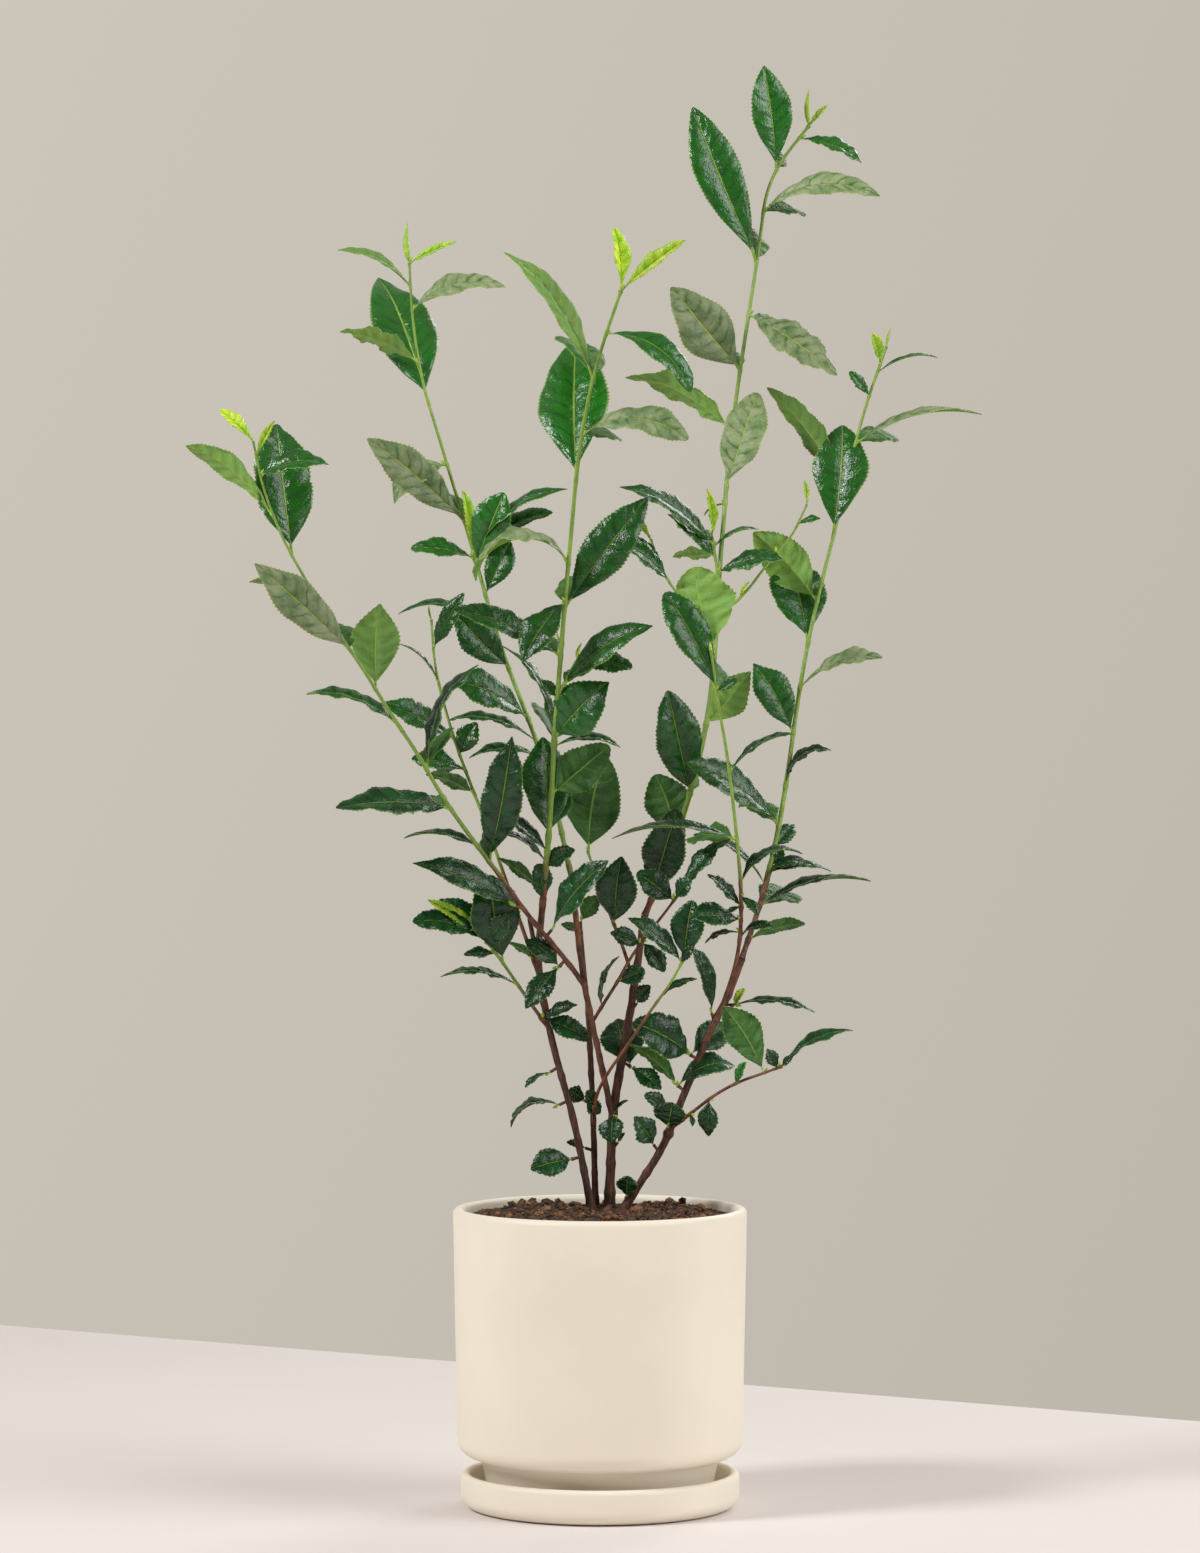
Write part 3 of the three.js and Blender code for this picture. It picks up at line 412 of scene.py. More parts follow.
def grow_shoots(limbs):
    """Every leafy shoot and spur: its name, and its stems, each with the leaves that it bears."""
    plans = dict(SHOOTS)
    for i, spur in enumerate(SPURS):
        plans[f"spur_{i + 1}"] = spur_shoot(spur, limbs)
    shoots = []
    for name, shoot in plans.items():
        path = grow_path(point_on(limbs[shoot["from"]]["path"], shoot["at"]), shoot)
        stems = [{**shoot, "path": path}]
        for twig in shoot.get("twigs", []):
            limb = {"radii": TWIG_RADII, "near": shoot["near"], **twig}
            stems.append({**limb, "path": grow_path(point_on(path, twig["at"]), limb)})
        shoots.append({"name": name, "stems": stems})
    return shoots


def leaf_plan(path, row, count):
    """Where one leaf starts and which way it points, lies and bends."""
    place, bearing, reach, pose_name = row[:4]
    pose = POSES[pose_name]
    near = pose["near"] + pose.get("swing", SWING) * math.sin(count * GOLDEN_ANGLE)
    along = heading(bearing, near)
    to_viewer = np.array([0.0, -1.0, 0.0])
    face = unit(to_viewer - to_viewer @ along * along)
    upper = np.cross(face, along) * (-1 if bearing < 0 else 1)
    roll = math.radians(pose["roll"])
    bend = math.radians(max(pose["arch"], 1))
    length = reach / math.cos(math.radians(near)) * (bend / 2 / math.sin(bend / 2))
    width = row[4] if len(row) > 4 else pose["width"]
    return {
        "pose": pose_name,
        "count": count,
        "base": point_on(path, place) * MM,
        "stem_way": way_on(path, place),
        "along": along,
        "normal": face * math.cos(roll) + upper * math.sin(roll),
        "bend": bend,
        "length": length * MM,
        "half": length * width / 2 * MM,
    }


def plan_leaves(shoot):
    """All the leaves of one shoot, with the partner that hides behind each long one."""
    leaves = []
    count = 0
    for stem in shoot["stems"]:
        for row in stem["leaves"]:
            place, bearing, reach, pose = row[:4]
            count += 1
            leaves.append(leaf_plan(stem["path"], row, count))
            if reach >= PARTNER["least"] and POSES[pose]["near"] >= 0:
                partner = (place, bearing, reach * PARTNER["reach"], "away")
                leaves.append(leaf_plan(stem["path"], partner, count))
    return leaves


# ------------------------------------------------------------------ meshes joined from arrays


def give_values(mesh, name, values):
    """Gives every point of a mesh a value that its materials read."""
    attribute = mesh.attributes.new(name, "FLOAT", "POINT")
    attribute.data.foreach_set("value", values.astype(np.float32))


class Joined:
    """Gathers many small shapes into one mesh, each with its materials and point values."""

    def __init__(self, name, materials, values):
        self.name = name
        self.materials = materials
        self.points = []
        self.faces = []
        self.face_slots = []
        self.values = {value: [] for value in values}
        self.total = 0

    def add(self, points, faces, kinds, **values):
        """kinds names one material for all the faces, or one for each."""
        order = list(self.materials)
        names = [kinds] * len(faces) if isinstance(kinds, str) else kinds
        self.points.append(points)
        self.faces.extend([[i + self.total for i in face] for face in faces])
        self.face_slots.extend([order.index(name) for name in names])
        for value, kept in self.values.items():
            kept.append(np.broadcast_to(values.get(value, 0.0), len(points)))
        self.total += len(points)

    def add_tube(self, rings, kind, **values):
        """A closed tube: quads round its rings and a cap on each end, all facing outwards."""
        rows, sides = rings.shape[:2]
        faces = []
        for low in range(0, (rows - 1) * sides, sides):
            for i in range(sides):
                j = (i + 1) % sides
                faces.append([low + i, low + j, low + sides + j, low + sides + i])
        faces.append(list(range(sides))[::-1])
        faces.append([(rows - 1) * sides + i for i in range(sides)])
        self.add(rings.reshape(-1, 3), faces, kind, **values)

    def build(self, sharp_degrees=50):
        mesh = bpy.data.meshes.new(self.name)
        mesh.from_pydata(np.concatenate(self.points).tolist(), [], self.faces)
        mesh.polygons.foreach_set("material_index", self.face_slots)
        for value, kept in self.values.items():
            give_values(mesh, value, np.concatenate(kept))
        piece = bpy.data.objects.new(self.name, mesh)
        bpy.context.collection.objects.link(piece)
        for material in self.materials.values():
            mesh.materials.append(material)
        smooth_by_angle(piece, sharp_degrees)
        return piece


def tube_rings(centres, ways, radii, sides):
    """Rings of points round a line, turned as little as possible from ring to ring."""
    side = unit(np.cross(ways[0], [0.0, 1.0, 0.0] if abs(ways[0][1]) < 0.9 else [1.0, 0.0, 0.0]))
    angles = np.linspace(0, 2 * math.pi, sides, endpoint=False)
    rings = []
    for centre, way, radius in zip(centres, ways, radii):
        side = unit(side - side @ way * way)
        front = np.cross(way, side)
        rings.append(centre + radius * (np.outer(np.cos(angles), side) + np.outer(np.sin(angles), front)))
    return np.array(rings)


# ------------------------------------------------------------------ leaves

COLUMNS = np.array([-1, -0.94, -0.8, -0.62, -0.42, -0.22, -0.07, 0, 0.07, 0.22, 0.42, 0.62, 0.8, 0.94, 1])
LEAF_VALUES = ["run", "across", "tone"]
LEAF_THICKNESS = 0.42 * MM
PETIOLE = 0.07  # share of a leaf's length that is stalk
STALK_SINK = 0.25 * MM  # how far the stalk lies below the blade
STALK_RINGS = 6
STALK_SIDES = 6
BUD_RINGS = 9
BUD_SIDES = 8
TOOTH = 2.8 * MM  # spacing of the teeth along a leaf's edge
TOOTH_OUT = 0.6 * MM  # how far a tooth stands out from the edge
TOOTH_IN = 0.4 * MM  # how far the notch before it goes in
VEIN_SPACING = 18 * MM  # a leaf gains a pair of side veins for each of these in its length
LONG_LEAF = 80 * MM  # longer leaves are slimmer
LOW_LEAF = 0.5  # height under which leaves are fuller and their undersides dull
FULLNESS = {"long": 0.93, "low": 1.12, "other": 1.06}  # width against the width in the plan
YOUNG_ABOVE = 1.6  # height, in heights of the pot, above which tip leaves are lime green
BRIGHT_ABOVE = 3.25
FRESH_ABOVE = 2.35
TINT_STRAY = 0.3  # how far a leaf's tint strays from those heights
VEIN_SWEEP = 0.13  # how far side veins run towards the tip
VEIN_OFFSET = 0.45  # how far one half's side veins lie past the other's
LEAF_RANGES = {  # the least and the most of what differs from leaf to leaf
    "tip": (0.55, 1.05),
    "long_tip": (0.7, 1),
    "fullest": (0.92, 1.16),
    "lobe": (0.02, 0.07),
    "lobes": (1, 2.4),
    "phase": (0, 1),
    "sway": (-0.035, 0.035),
    "dimples": (20, 40),
    "waves": (1.6, 3.4),
    "wave": (0.03, 0.12),
    "puff": (0.07, 0.13),
    "rolled_edge": (0, 0.12),
    "droop": (-0.01, 0.06),
}
GREY_SHEEN_LEAVES = {  # leaves painted pale grey-green, a painted sheen, by shoot, numbered from its foot
    "tall_shoot": (6, 8, 9, 11),
    "centre_shoot": (17, 19),
    "left_shoot": (8, 9, 12),
    "far_left_shoot": (9, 10, 12),
    "right_shoot": (11, 16),
}
# Painted sheen: these leaves' upper sides take the pale underside colour, standing in for the light that they
# reflect.
PALE_SHEEN_LEAVES = {"centre_shoot": (20,), "left_shoot": (13,)}  # as pale above as below


def leaf_line(plan, place):
    """Points on a leaf's bent middle line, with the line's direction and its upper side there."""
    bend, length = plan["bend"], plan["length"]
    turn = bend * (0.5 - place)
    forward = length * (math.sin(bend / 2) - np.sin(turn)) / bend
    rise = length * (np.cos(turn) - math.cos(bend / 2)) / bend
    along, normal = plan["along"], plan["normal"]
    points = plan["base"] + np.outer(forward, along) + np.outer(rise, normal)
    ways = np.outer(np.cos(turn), along) + np.outer(np.sin(turn), normal)
    ups = np.outer(-np.sin(turn), along) + np.outer(np.cos(turn), normal)
    return points, ways, ups


def blade_shape(plan, dice):
    """The grid of a leaf's blade: its points, its upper side and each point's run of side veins."""
    length = plan["length"]
    is_long = length > LONG_LEAF
    is_low = plan["base"][2] < LOW_LEAF
    half = plan["half"] * FULLNESS["long" if is_long else "low" if is_low else "other"]
    rows = 2 * int(np.clip(length / TOOTH, 7, 40)) + 1
    on_tooth = np.arange(rows) % 2 == 1
    share = np.linspace(0, 1, rows)
    middle, ways, ups = leaf_line(plan, PETIOLE + (1 - PETIOLE) * share)
    sideways = np.cross(plan["along"], plan["normal"])

    def draw(name):
        return dice.uniform(*LEAF_RANGES[name])

    # Outline: a wedge at the stalk, fullest past the middle, blunter or sharper at the tip, toothed.
    sharpness = draw("long_tip" if is_long else "tip")
    body = np.sin(math.pi * share ** draw("fullest")) ** (0.98 + (sharpness - 0.98) * share)
    depth, lobes, start = draw("lobe"), draw("lobes"), draw("phase")
    uneven = 1 + depth * np.sin(2 * math.pi * (lobes * share + start))
    outline = half * np.maximum(body, 0.015) * uneven
    tooth = np.where(on_tooth, TOOTH_OUT, -TOOTH_IN) / half
    spread_out = outline[:, None] * COLUMNS[None, :] * (1 + tooth[:, None] * (np.abs(COLUMNS) > 0.97))

    # Twist and side sway, so that no two leaves lie alike.
    pose = POSES[plan["pose"]]
    twist = math.radians(dice.uniform(-pose["twist"], pose["twist"])) * (share * 2.6 - 0.8)
    sides = sideways * np.cos(twist)[:, None] + ups * np.sin(twist)[:, None]
    tops = ups * np.cos(twist)[:, None] - sideways * np.sin(twist)[:, None]
    sway = draw("sway") * length * np.sin(math.pi * share)

    # Relief: the puffs between the side veins, slow waves, the fold, the midrib and a rolled edge.
    across = np.abs(COLUMNS)[None, :]
    right = COLUMNS[None, :] > 0
    down = share[:, None]
    edge = outline[:, None]
    pairs = round(3 + length / VEIN_SPACING)
    vein_place = (down - VEIN_SWEEP * across**1.4) * pairs * 1.1 + VEIN_OFFSET * right
    puff = np.abs(np.sin(math.pi * vein_place)) ** 0.8
    puff = puff * (0.7 + 0.3 * np.sin(down * draw("dimples") + 2 * right))
    open_field = (1 - across**5) * (1 - np.exp(-((across / 0.14) ** 2)))
    waves, start, ripple = draw("waves"), draw("phase"), draw("phase")
    wave = np.sin(2 * math.pi * (waves * down + start + 0.35 * right))
    wave = wave + 0.45 * np.sin(2 * math.pi * (waves * 2.7 * down + ripple - 0.2 * right))
    lift = edge * pose["fold"] * (across - 0.35 * across**4)
    lift = lift + half * draw("wave") * wave * across**2.5 * smooth(body[:, None], 0.1, 0.6)
    lift = lift + edge * draw("puff") * puff * open_field
    lift = lift - edge * 0.04 * np.exp(-((across / 0.09) ** 2))
    lift = lift - edge * draw("rolled_edge") * across**8
    droop = length * draw("droop") * smooth(share, 0.62, 1.15)[:, None]
    lift = lift - droop * (half < length / 3)

    points = middle[:, None, :] + sideways * sway[:, None, None]
    points = points + sides[:, None, :] * spread_out[:, :, None] + tops[:, None, :] * lift[:, :, None]
    hook = 0.3 * length / rows * on_tooth
    points = points + ways[:, None, :] * (hook[:, None] * (across > 0.95))[:, :, None]
    return points, tops, vein_place


def grid_faces(rows, columns, top, under):
    """The faces of a closed blade with an upper and a lower layer, and the material of each."""
    layer = rows * columns

    def quad(*corners):
        return [low * layer + row * columns + column for row, column, low in corners]

    faces, kinds = [], []
    for row in range(rows - 1):
        for column in range(columns - 1):
            right, up = column + 1, row + 1
            faces.append(quad((row, column, 0), (row, right, 0), (up, right, 0), (up, column, 0)))
            faces.append(quad((up, column, 1), (up, right, 1), (row, right, 1), (row, column, 1)))
            kinds.extend([top, under])
        last, up = columns - 1, row + 1
        faces.append(quad((row, 0, 0), (up, 0, 0), (up, 0, 1), (row, 0, 1)))
        faces.append(quad((row, last, 0), (row, last, 1), (up, last, 1), (up, last, 0)))
        kinds.extend([under, under])
    for column in range(columns - 1):
        end, right = rows - 1, column + 1
        faces.append(quad((0, column, 0), (0, column, 1), (0, right, 1), (0, right, 0)))
        faces.append(quad((end, column, 0), (end, right, 0), (end, right, 1), (end, column, 1)))
        kinds.extend([under, under])
    return faces, kinds


def add_leaf(joined, plan, tint, dice):
    """One leaf: a thin closed blade with its veins in relief, and its stalk."""
    points, tops, run = blade_shape(plan, dice)
    rows, columns = run.shape
    across = np.abs(COLUMNS)[None, :]
    thick = LEAF_THICKNESS / 2 * (1 - 0.7 * across**6) * np.ones((rows, 1))
    share = np.linspace(0, 1, rows)[:, None]
    rib = (0.022 * plan["half"] + 0.3 * MM) * (1 - 0.8 * share) * np.exp(-((across / 0.06) ** 2))
    upper = points + tops[:, None, :] * thick[:, :, None]
    lower = points - tops[:, None, :] * (thick + rib)[:, :, None]
    shell = np.concatenate([upper.reshape(-1, 3), lower.reshape(-1, 3)])
    faces, kinds = grid_faces(rows, columns, tint, "dim" if plan["base"][2] < LOW_LEAF else "underside")
    tone = dice.uniform(0, 1)
    runs = np.tile(run.ravel(), 2)
    joined.add(shell, faces, kinds, run=runs, across=np.tile(across[0], 2 * rows), tone=tone)

    centres, ways, ups = leaf_line(plan, np.linspace(0, PETIOLE + 0.03, STALK_RINGS))
    thick_stalk = float(np.clip(plan["half"] * 0.055, 0.4 * MM, 0.95 * MM))
    radii = thick_stalk * np.linspace(1.25, 0.75, STALK_RINGS)
    stalk = tube_rings(centres - ups * STALK_SINK, ways, radii, STALK_SIDES)
    joined.add_tube(stalk, "rib", run=0.5, across=0.5, tone=tone)


def add_bud(joined, base, way, length, radius, sway):
    """A closed bud: a slim spindle that sways a little to one side."""
    share = np.linspace(0, 1, BUD_RINGS)
    side = unit(np.cross(way, [0.0, 1.0, 0.1]))
    centres = base + np.outer(share * length, way) + np.outer(np.sin(share * math.pi) * sway * length, side)
    radii = radius * np.maximum(np.sin(math.pi * share**0.7) ** 0.9, 0.06)
    ways = [unit(step) for step in np.gradient(centres, axis=0)]
    joined.add_tube(tube_rings(centres, ways, radii, BUD_SIDES), "bud", run=0.5, across=0.5, tone=0.5)


def leaf_tint(shoot_name, plan, dice):
    """Tips are young; some leaves are painted pale grey-green and a few as pale as their undersides, both a
    painted sheen. The rest darken from the top of the bush down.
    """
    height = plan["base"][2] / POT_HIGH.z
    if plan["pose"] == "away":
        return "dim"
    if plan["pose"] == "young":
        return "young" if height > YOUNG_ABOVE else "bright"
    # Painted sheen: these leaves are painted pale grey-green.
    if plan["count"] in GREY_SHEEN_LEAVES.get(shoot_name, ()):
        return "grey_sheen"
    # Painted sheen: the pale underside colour on these leaves' upper sides.
    if plan["count"] in PALE_SHEEN_LEAVES.get(shoot_name, ()):
        return "underside"
    height += dice.uniform(-TINT_STRAY, TINT_STRAY)
    if height > BRIGHT_ABOVE:
        return "bright"
    return "fresh" if height > FRESH_ABOVE else "dark"


# ------------------------------------------------------------------ shapes made by hand

BARK_STEP = 1.4  # spacing of a cane's rings, in millimetres
BARK_STREAK = {"scale": (900, 900, 110), "depth": 0.16}  # finer across the grain than along it
BARK_LUMP = {"scale": 160, "depth": 0.3}
KNOTS = {"start": 14, "stop": 200, "spacing": 19, "stray": 5, "width": 2.4, "swelling": (0.05, 0.2)}
BIG_KNOTS = {"cane_4": (64, 0.55)}  # place along the cane in millimetres, and swelling
FLARE = {"foot": (0.5, 7), "bough": (0.3, 4)}  # swelling of a limb's start, and its reach


def deselect():
    bpy.ops.object.select_all(action="DESELECT")


def smooth_by_angle(piece, degrees):
    deselect()
    piece.select_set(True)
    bpy.context.view_layer.objects.active = piece
    bpy.ops.object.shade_smooth_by_angle(angle=math.radians(degrees))


def settle(piece, name):
    """Names a piece and puts its place into its mesh."""
    piece.name = name
    piece.data.name = name
    bpy.ops.object.transform_apply(location=True, rotation=True, scale=True)
    return piece


def start_disc(name, sides, radius, height):
    """A flat disc, open in edit mode with its one face selected."""
    deselect()
    bpy.ops.mesh.primitive_circle_add(
        vertices=sides, radius=radius, fill_type="NGON", location=(0, 0, height)
    )
    piece = settle(bpy.context.object, name)
    bpy.ops.object.mode_set(mode="EDIT")
    bpy.ops.mesh.select_mode(type="FACE")
    bpy.ops.mesh.select_all(action="SELECT")
    return piece


def draw_up(rise):
    bpy.ops.mesh.extrude_region_move(TRANSFORM_OT_translate={"value": (0, 0, rise)})


def close_up():
    """Turns all faces outwards and leaves edit mode."""
    bpy.ops.mesh.select_all(action="SELECT")
    bpy.ops.mesh.normals_make_consistent(inside=False)
    bpy.ops.object.mode_set(mode="OBJECT")


def turn_on_wheel(name, rings, sides):
    """A closed round shape drawn up ring by ring from the flat disc that it starts as."""
    piece = start_disc(name, sides, *rings[0])
    for (radius, height), (next_radius, next_height) in zip(rings, rings[1:]):
        grow = next_radius / radius
        draw_up(next_height - height)
        bpy.ops.transform.resize(value=(grow, grow, 1), center_override=(0, 0, next_height))
    close_up()
    smooth_by_angle(piece, 40)
    return piece


def bow(radius, height, size, start, end, steps):
    """Rings along an arc of the section, by its centre, its own radius and its angles."""
    angles = [math.radians(start + (end - start) * i / steps) for i in range(steps + 1)]
    return [(radius + size * math.cos(a), height + size * math.sin(a)) for a in angles]


def draw_out_limb(name, limb, knots, dice):
    """A cane or bough: a curve with its taper, made a mesh, and then given its bark in relief."""
    deselect()
    bpy.ops.curve.primitive_bezier_curve_add()
    piece = bpy.context.object
    curve = piece.data
    curve.splines.clear()
    rows = int(limb["length"] / BARK_STEP)
    spline = curve.splines.new("POLY")
    spline.points.add(rows - 1)
    is_cane = "foot" in limb
    flare, reach = FLARE["foot" if is_cane else "bough"]
    for i, point in enumerate(spline.points):
        place = i / (rows - 1)
        point.co = (*(point_on(limb["path"], place) * MM), 1)
        radius = limb["radii"][0] + (limb["radii"][1] - limb["radii"][0]) * place
        along = place * limb["length"]
        for knot, size in knots:
            radius *= 1 + size * math.exp(-(((along - knot) / KNOTS["width"]) ** 2))
        point.radius = radius * (1 + flare * math.exp(((ROOT if is_cane else 0) - along) / reach))
    curve.dimensions = "3D"
    curve.bevel_depth = MM
    curve.bevel_resolution = 6
    curve.use_fill_caps = True
    bpy.ops.object.convert(target="MESH")
    settle(piece, name)

    offset = Vector((dice.uniform(0, 50), dice.uniform(0, 50), dice.uniform(0, 50)))
    foot = Vector(limb["path"][0]) * MM
    form = bmesh.new()
    form.from_mesh(piece.data)
    bmesh.ops.remove_doubles(form, verts=form.verts, dist=1e-6)
    bmesh.ops.recalc_face_normals(form, faces=form.faces)
    form.normal_update()
    for vertex in form.verts:
        spot = vertex.co - foot
        streak = noise.noise(spot * Vector(BARK_STREAK["scale"]) + offset) * BARK_STREAK["depth"]
        lump = noise.noise(spot * BARK_LUMP["scale"] + offset) * BARK_LUMP["depth"]
        vertex.co += vertex.normal * (streak + lump) * MM
    form.to_mesh(piece.data)
    form.free()
    smooth_by_angle(piece, 60)
    return piece


# ------------------------------------------------------------------ shader nodes
#
# Where a node takes a value it also takes a pair, (node, output), that is linked to it instead.


def feed(node, **inputs):
    """Sets a node's inputs, each by its name or, as i and a number, by its place."""
    for key, value in inputs.items():
        by_number = key[0] == "i" and key[1:].isdigit()
        socket = node.inputs[int(key[1:]) if by_number else key.replace("_", " ")]
        if isinstance(value, tuple) and isinstance(value[0], bpy.types.Node):
            node.id_data.links.new(value[0].outputs[value[1]], socket)
        else:
            socket.default_value = value


def place_node(tree, kind, settings=None, **inputs):
    """Adds a shader node with its settings and its inputs."""
    node = tree.nodes.new("ShaderNode" + kind)
    for key, value in (settings or {}).items():
        setattr(node, key, value)
    feed(node, **inputs)
    return node


def worked_out(tree, operation, *values):
    """The result of a Math node."""
    numbered = {f"i{i}": value for i, value in enumerate(values)}
    return place_node(tree, "Math", {"operation": operation}, **numbered), 0


def spread(tree, value, start=0.0, stop=1.0, low=0.0, high=1.0, gentle=False):
    """A value's span from start to stop, spread out from low to high."""
    kind = {"interpolation_type": "SMOOTHSTEP"} if gentle else {}
    return place_node(tree, "MapRange", kind, i0=value, i1=start, i2=stop, i3=low, i4=high), 0


def mixed(tree, share, first, second):
    """Two colours mixed: the first where the share is 0, the second where it is 1."""
    return place_node(tree, "Mix", {"data_type": "RGBA"}, i0=share, i6=first, i7=second), 2


def scaled(tree, colour, level):
    return place_node(tree, "VectorMath", {"operation": "SCALE"}, i0=colour, Scale=level), 0


def cloudy(tree, spot, scale, detail, roughness=0.5):
    noisy = place_node(tree, "TexNoise", Vector=spot, Scale=scale, Detail=detail, Roughness=roughness)
    return noisy, "Fac"


def carried(tree, name):
    """A value that the points of the mesh carry."""
    return place_node(tree, "Attribute", {"attribute_name": name}), "Fac"


# ------------------------------------------------------------------ shader groups


def draw_mottle(tree, given, spot):
    """Cloudy patches of a second colour over the first, at the size that Scale gives."""
    cloud = cloudy(tree, spot, (given, "Scale"), 5.0, 0.6)
    clear = spread(tree, cloud, 0.38, 0.66, gentle=True)
    mask = worked_out(tree, "MULTIPLY", clear, (given, "Amount"))
    return {"Color": mixed(tree, mask, (given, "Base"), (given, "Patch")), "Mask": mask}


def draw_relief(tree, given, spot):
    """A normal bent by fine grain at one size and by a given height."""
    grain = cloudy(tree, spot, (given, "Scale"), 3.0, 0.55)
    height = worked_out(tree, "ADD", grain, (given, "Height"))
    bump = place_node(tree, "Bump", Strength=(given, "Strength"), Distance=0.6 * MM, Height=height)
    return {"Normal": (bump, "Normal"), "Grain": grain}


def draw_speckle(tree, given, spot):
    """A mask of small round spots. Scale spreads them and Size sets how far each one reaches."""
    cells = place_node(tree, "TexVoronoi", Vector=spot, Scale=(given, "Scale"))
    return {"Mask": spread(tree, (cells, "Distance"), 0.0, (given, "Size"), 1.0, 0.0)}


def draw_streaks(tree, given, spot):
    """A mask of fine upright streaks. Scale spreads them and Share sets how much they cover."""
    drawn = place_node(tree, "VectorMath", {"operation": "MULTIPLY"}, i0=spot, i1=(1, 1, 0.1))
    cloud = cloudy(tree, (drawn, 0), (given, "Scale"), 4.0, 0.65)
    start = worked_out(tree, "SUBTRACT", 0.85, (given, "Share"))
    stop = worked_out(tree, "ADD", start, 0.2)
    return {"Mask": spread(tree, cloud, start, stop)}


def draw_leaf_veins(tree, given, spot):
    """Where a leaf's veins lie, from its "run" of side veins and how far "across" the blade it is."""
    run, across = carried(tree, "run"), carried(tree, "across")
    bent = worked_out(tree, "MULTIPLY_ADD", cloudy(tree, spot, 130.0, 2.0), 0.9, run)
    off = worked_out(tree, "PINGPONG", bent, 0.5)
    near = spread(tree, off, 0.0, (given, "Width"), 1.0, 0.0, gentle=True)
    inner = spread(tree, across, 0.6, 0.95, 1.0, 0.0, gentle=True)
    left = spread(tree, cloudy(tree, spot, 75.0, 3.0), 0.38, 0.6, 0.15, gentle=True)
    return {
        "Side": worked_out(tree, "MULTIPLY", worked_out(tree, "MULTIPLY", near, inner), left),
        "Puff": spread(tree, off, 0.0, 0.4, gentle=True),
        "Midrib": spread(tree, across, 0.01, 0.05, 1.0, 0.0, gentle=True),
        "Margin": spread(tree, across, 0.93, 1.0, gentle=True),
    }


PALE_GREY = (0.5, 0.5, 0.5, 1)
DARK_GREY = (0.2, 0.2, 0.2, 1)
EFFECTS = {  # each shared effect's inputs with their usual values, and what draws it
    "mottle": ({"Base": PALE_GREY, "Patch": DARK_GREY, "Scale": 60.0, "Amount": 0.5}, draw_mottle),
    "relief": ({"Scale": 800.0, "Strength": 0.2, "Height": 0.0}, draw_relief),
    "speckle": ({"Scale": 300.0, "Size": 0.2}, draw_speckle),
    "streaks": ({"Scale": 700.0, "Share": 0.5}, draw_streaks),
    "leaf_veins": ({"Width": 0.1}, draw_leaf_veins),
}
SOCKET_KINDS = {"Base": "Color", "Patch": "Color", "Color": "Color", "Normal": "Vector"}


def add_socket(group, name, way):
    kind = "NodeSocket" + SOCKET_KINDS.get(name, "Float")
    return group.interface.new_socket(name, in_out=way, socket_type=kind)


def build_group(name):
    """The shader group of a shared effect, with its named inputs and outputs."""
    inputs, draw = EFFECTS[name]
    group = bpy.data.node_groups.new(name, "ShaderNodeTree")
    for socket, value in inputs.items():
        add_socket(group, socket, "INPUT").default_value = value
    given = group.nodes.new("NodeGroupInput")
    outputs = draw(group, given, (place_node(group, "TexCoord"), "Object"))
    for socket in outputs:
        add_socket(group, socket, "OUTPUT")
    feed(group.nodes.new("NodeGroupOutput"), **outputs)
    return group


def place_effect(tree, name, **inputs):
    """Adds a shared effect, with this material's own values."""
    group = bpy.data.node_groups.get(name) or build_group(name)
    return place_node(tree, "Group", {"node_tree": group}, **inputs)


# ------------------------------------------------------------------ materials


def start_material(name):
    """A new material, its node tree and its Principled shader."""
    material = bpy.data.materials.new(name)
    material.use_nodes = True
    return material, material.node_tree, material.node_tree.nodes["Principled BSDF"]


def rgba(colour, factor=1.0):
    return (colour[0] * factor, colour[1] * factor, colour[2] * factor, 1.0)


def paint(code):
    """A colour written as six hex digits, as linear values."""
    shares = [int(code[i : i + 2], 16) / 255 for i in (0, 2, 4)]
    return tuple(s / 12.92 if s <= 0.04045 else ((s + 0.055) / 1.055) ** 2.4 for s in shares)


def ceramic_material(colour):
    """A matte cream glaze: faint clouds of a warmer tone, and an eggshell's fine grain."""
    material, tree, shader = start_material("cream_glaze")
    warmer = rgba(colour, 0.94)
    cloud = place_effect(tree, "mottle", Base=rgba(colour), Patch=warmer, Scale=14.0, Amount=0.5)
    specks = place_effect(tree, "speckle", Scale=420.0, Size=0.1)
    faint = worked_out(tree, "MULTIPLY", (specks, "Mask"), 0.12)
    skin = mixed(tree, faint, (cloud, "Color"), rgba(colour, 0.7))
    grain = place_effect(tree, "relief", Scale=520.0, Strength=0.06)
    rough = spread(tree, (grain, "Grain"), low=0.42, high=0.56)
    feed(shader, Base_Color=skin, Roughness=rough, Normal=(grain, "Normal"), Specular_IOR_Level=0.4)
    return material


def earth_material(name, colour, patch, roughness):
    """Damp potting mix, crumbs or chips: two tones, dealt out further by each crumb's tone."""
    material, tree, shader = start_material(name)
    cloud = place_effect(tree, "mottle", Base=rgba(colour), Patch=rgba(patch), Scale=260.0, Amount=0.85)
    bright = spread(tree, carried(tree, "tone"), low=0.6, high=1.9)
    shade = scaled(tree, (cloud, "Color"), bright)
    grain = place_effect(tree, "relief", Scale=1300.0, Strength=0.5)
    feed(shader, Base_Color=shade, Roughness=roughness, Normal=(grain, "Normal"))
    return material


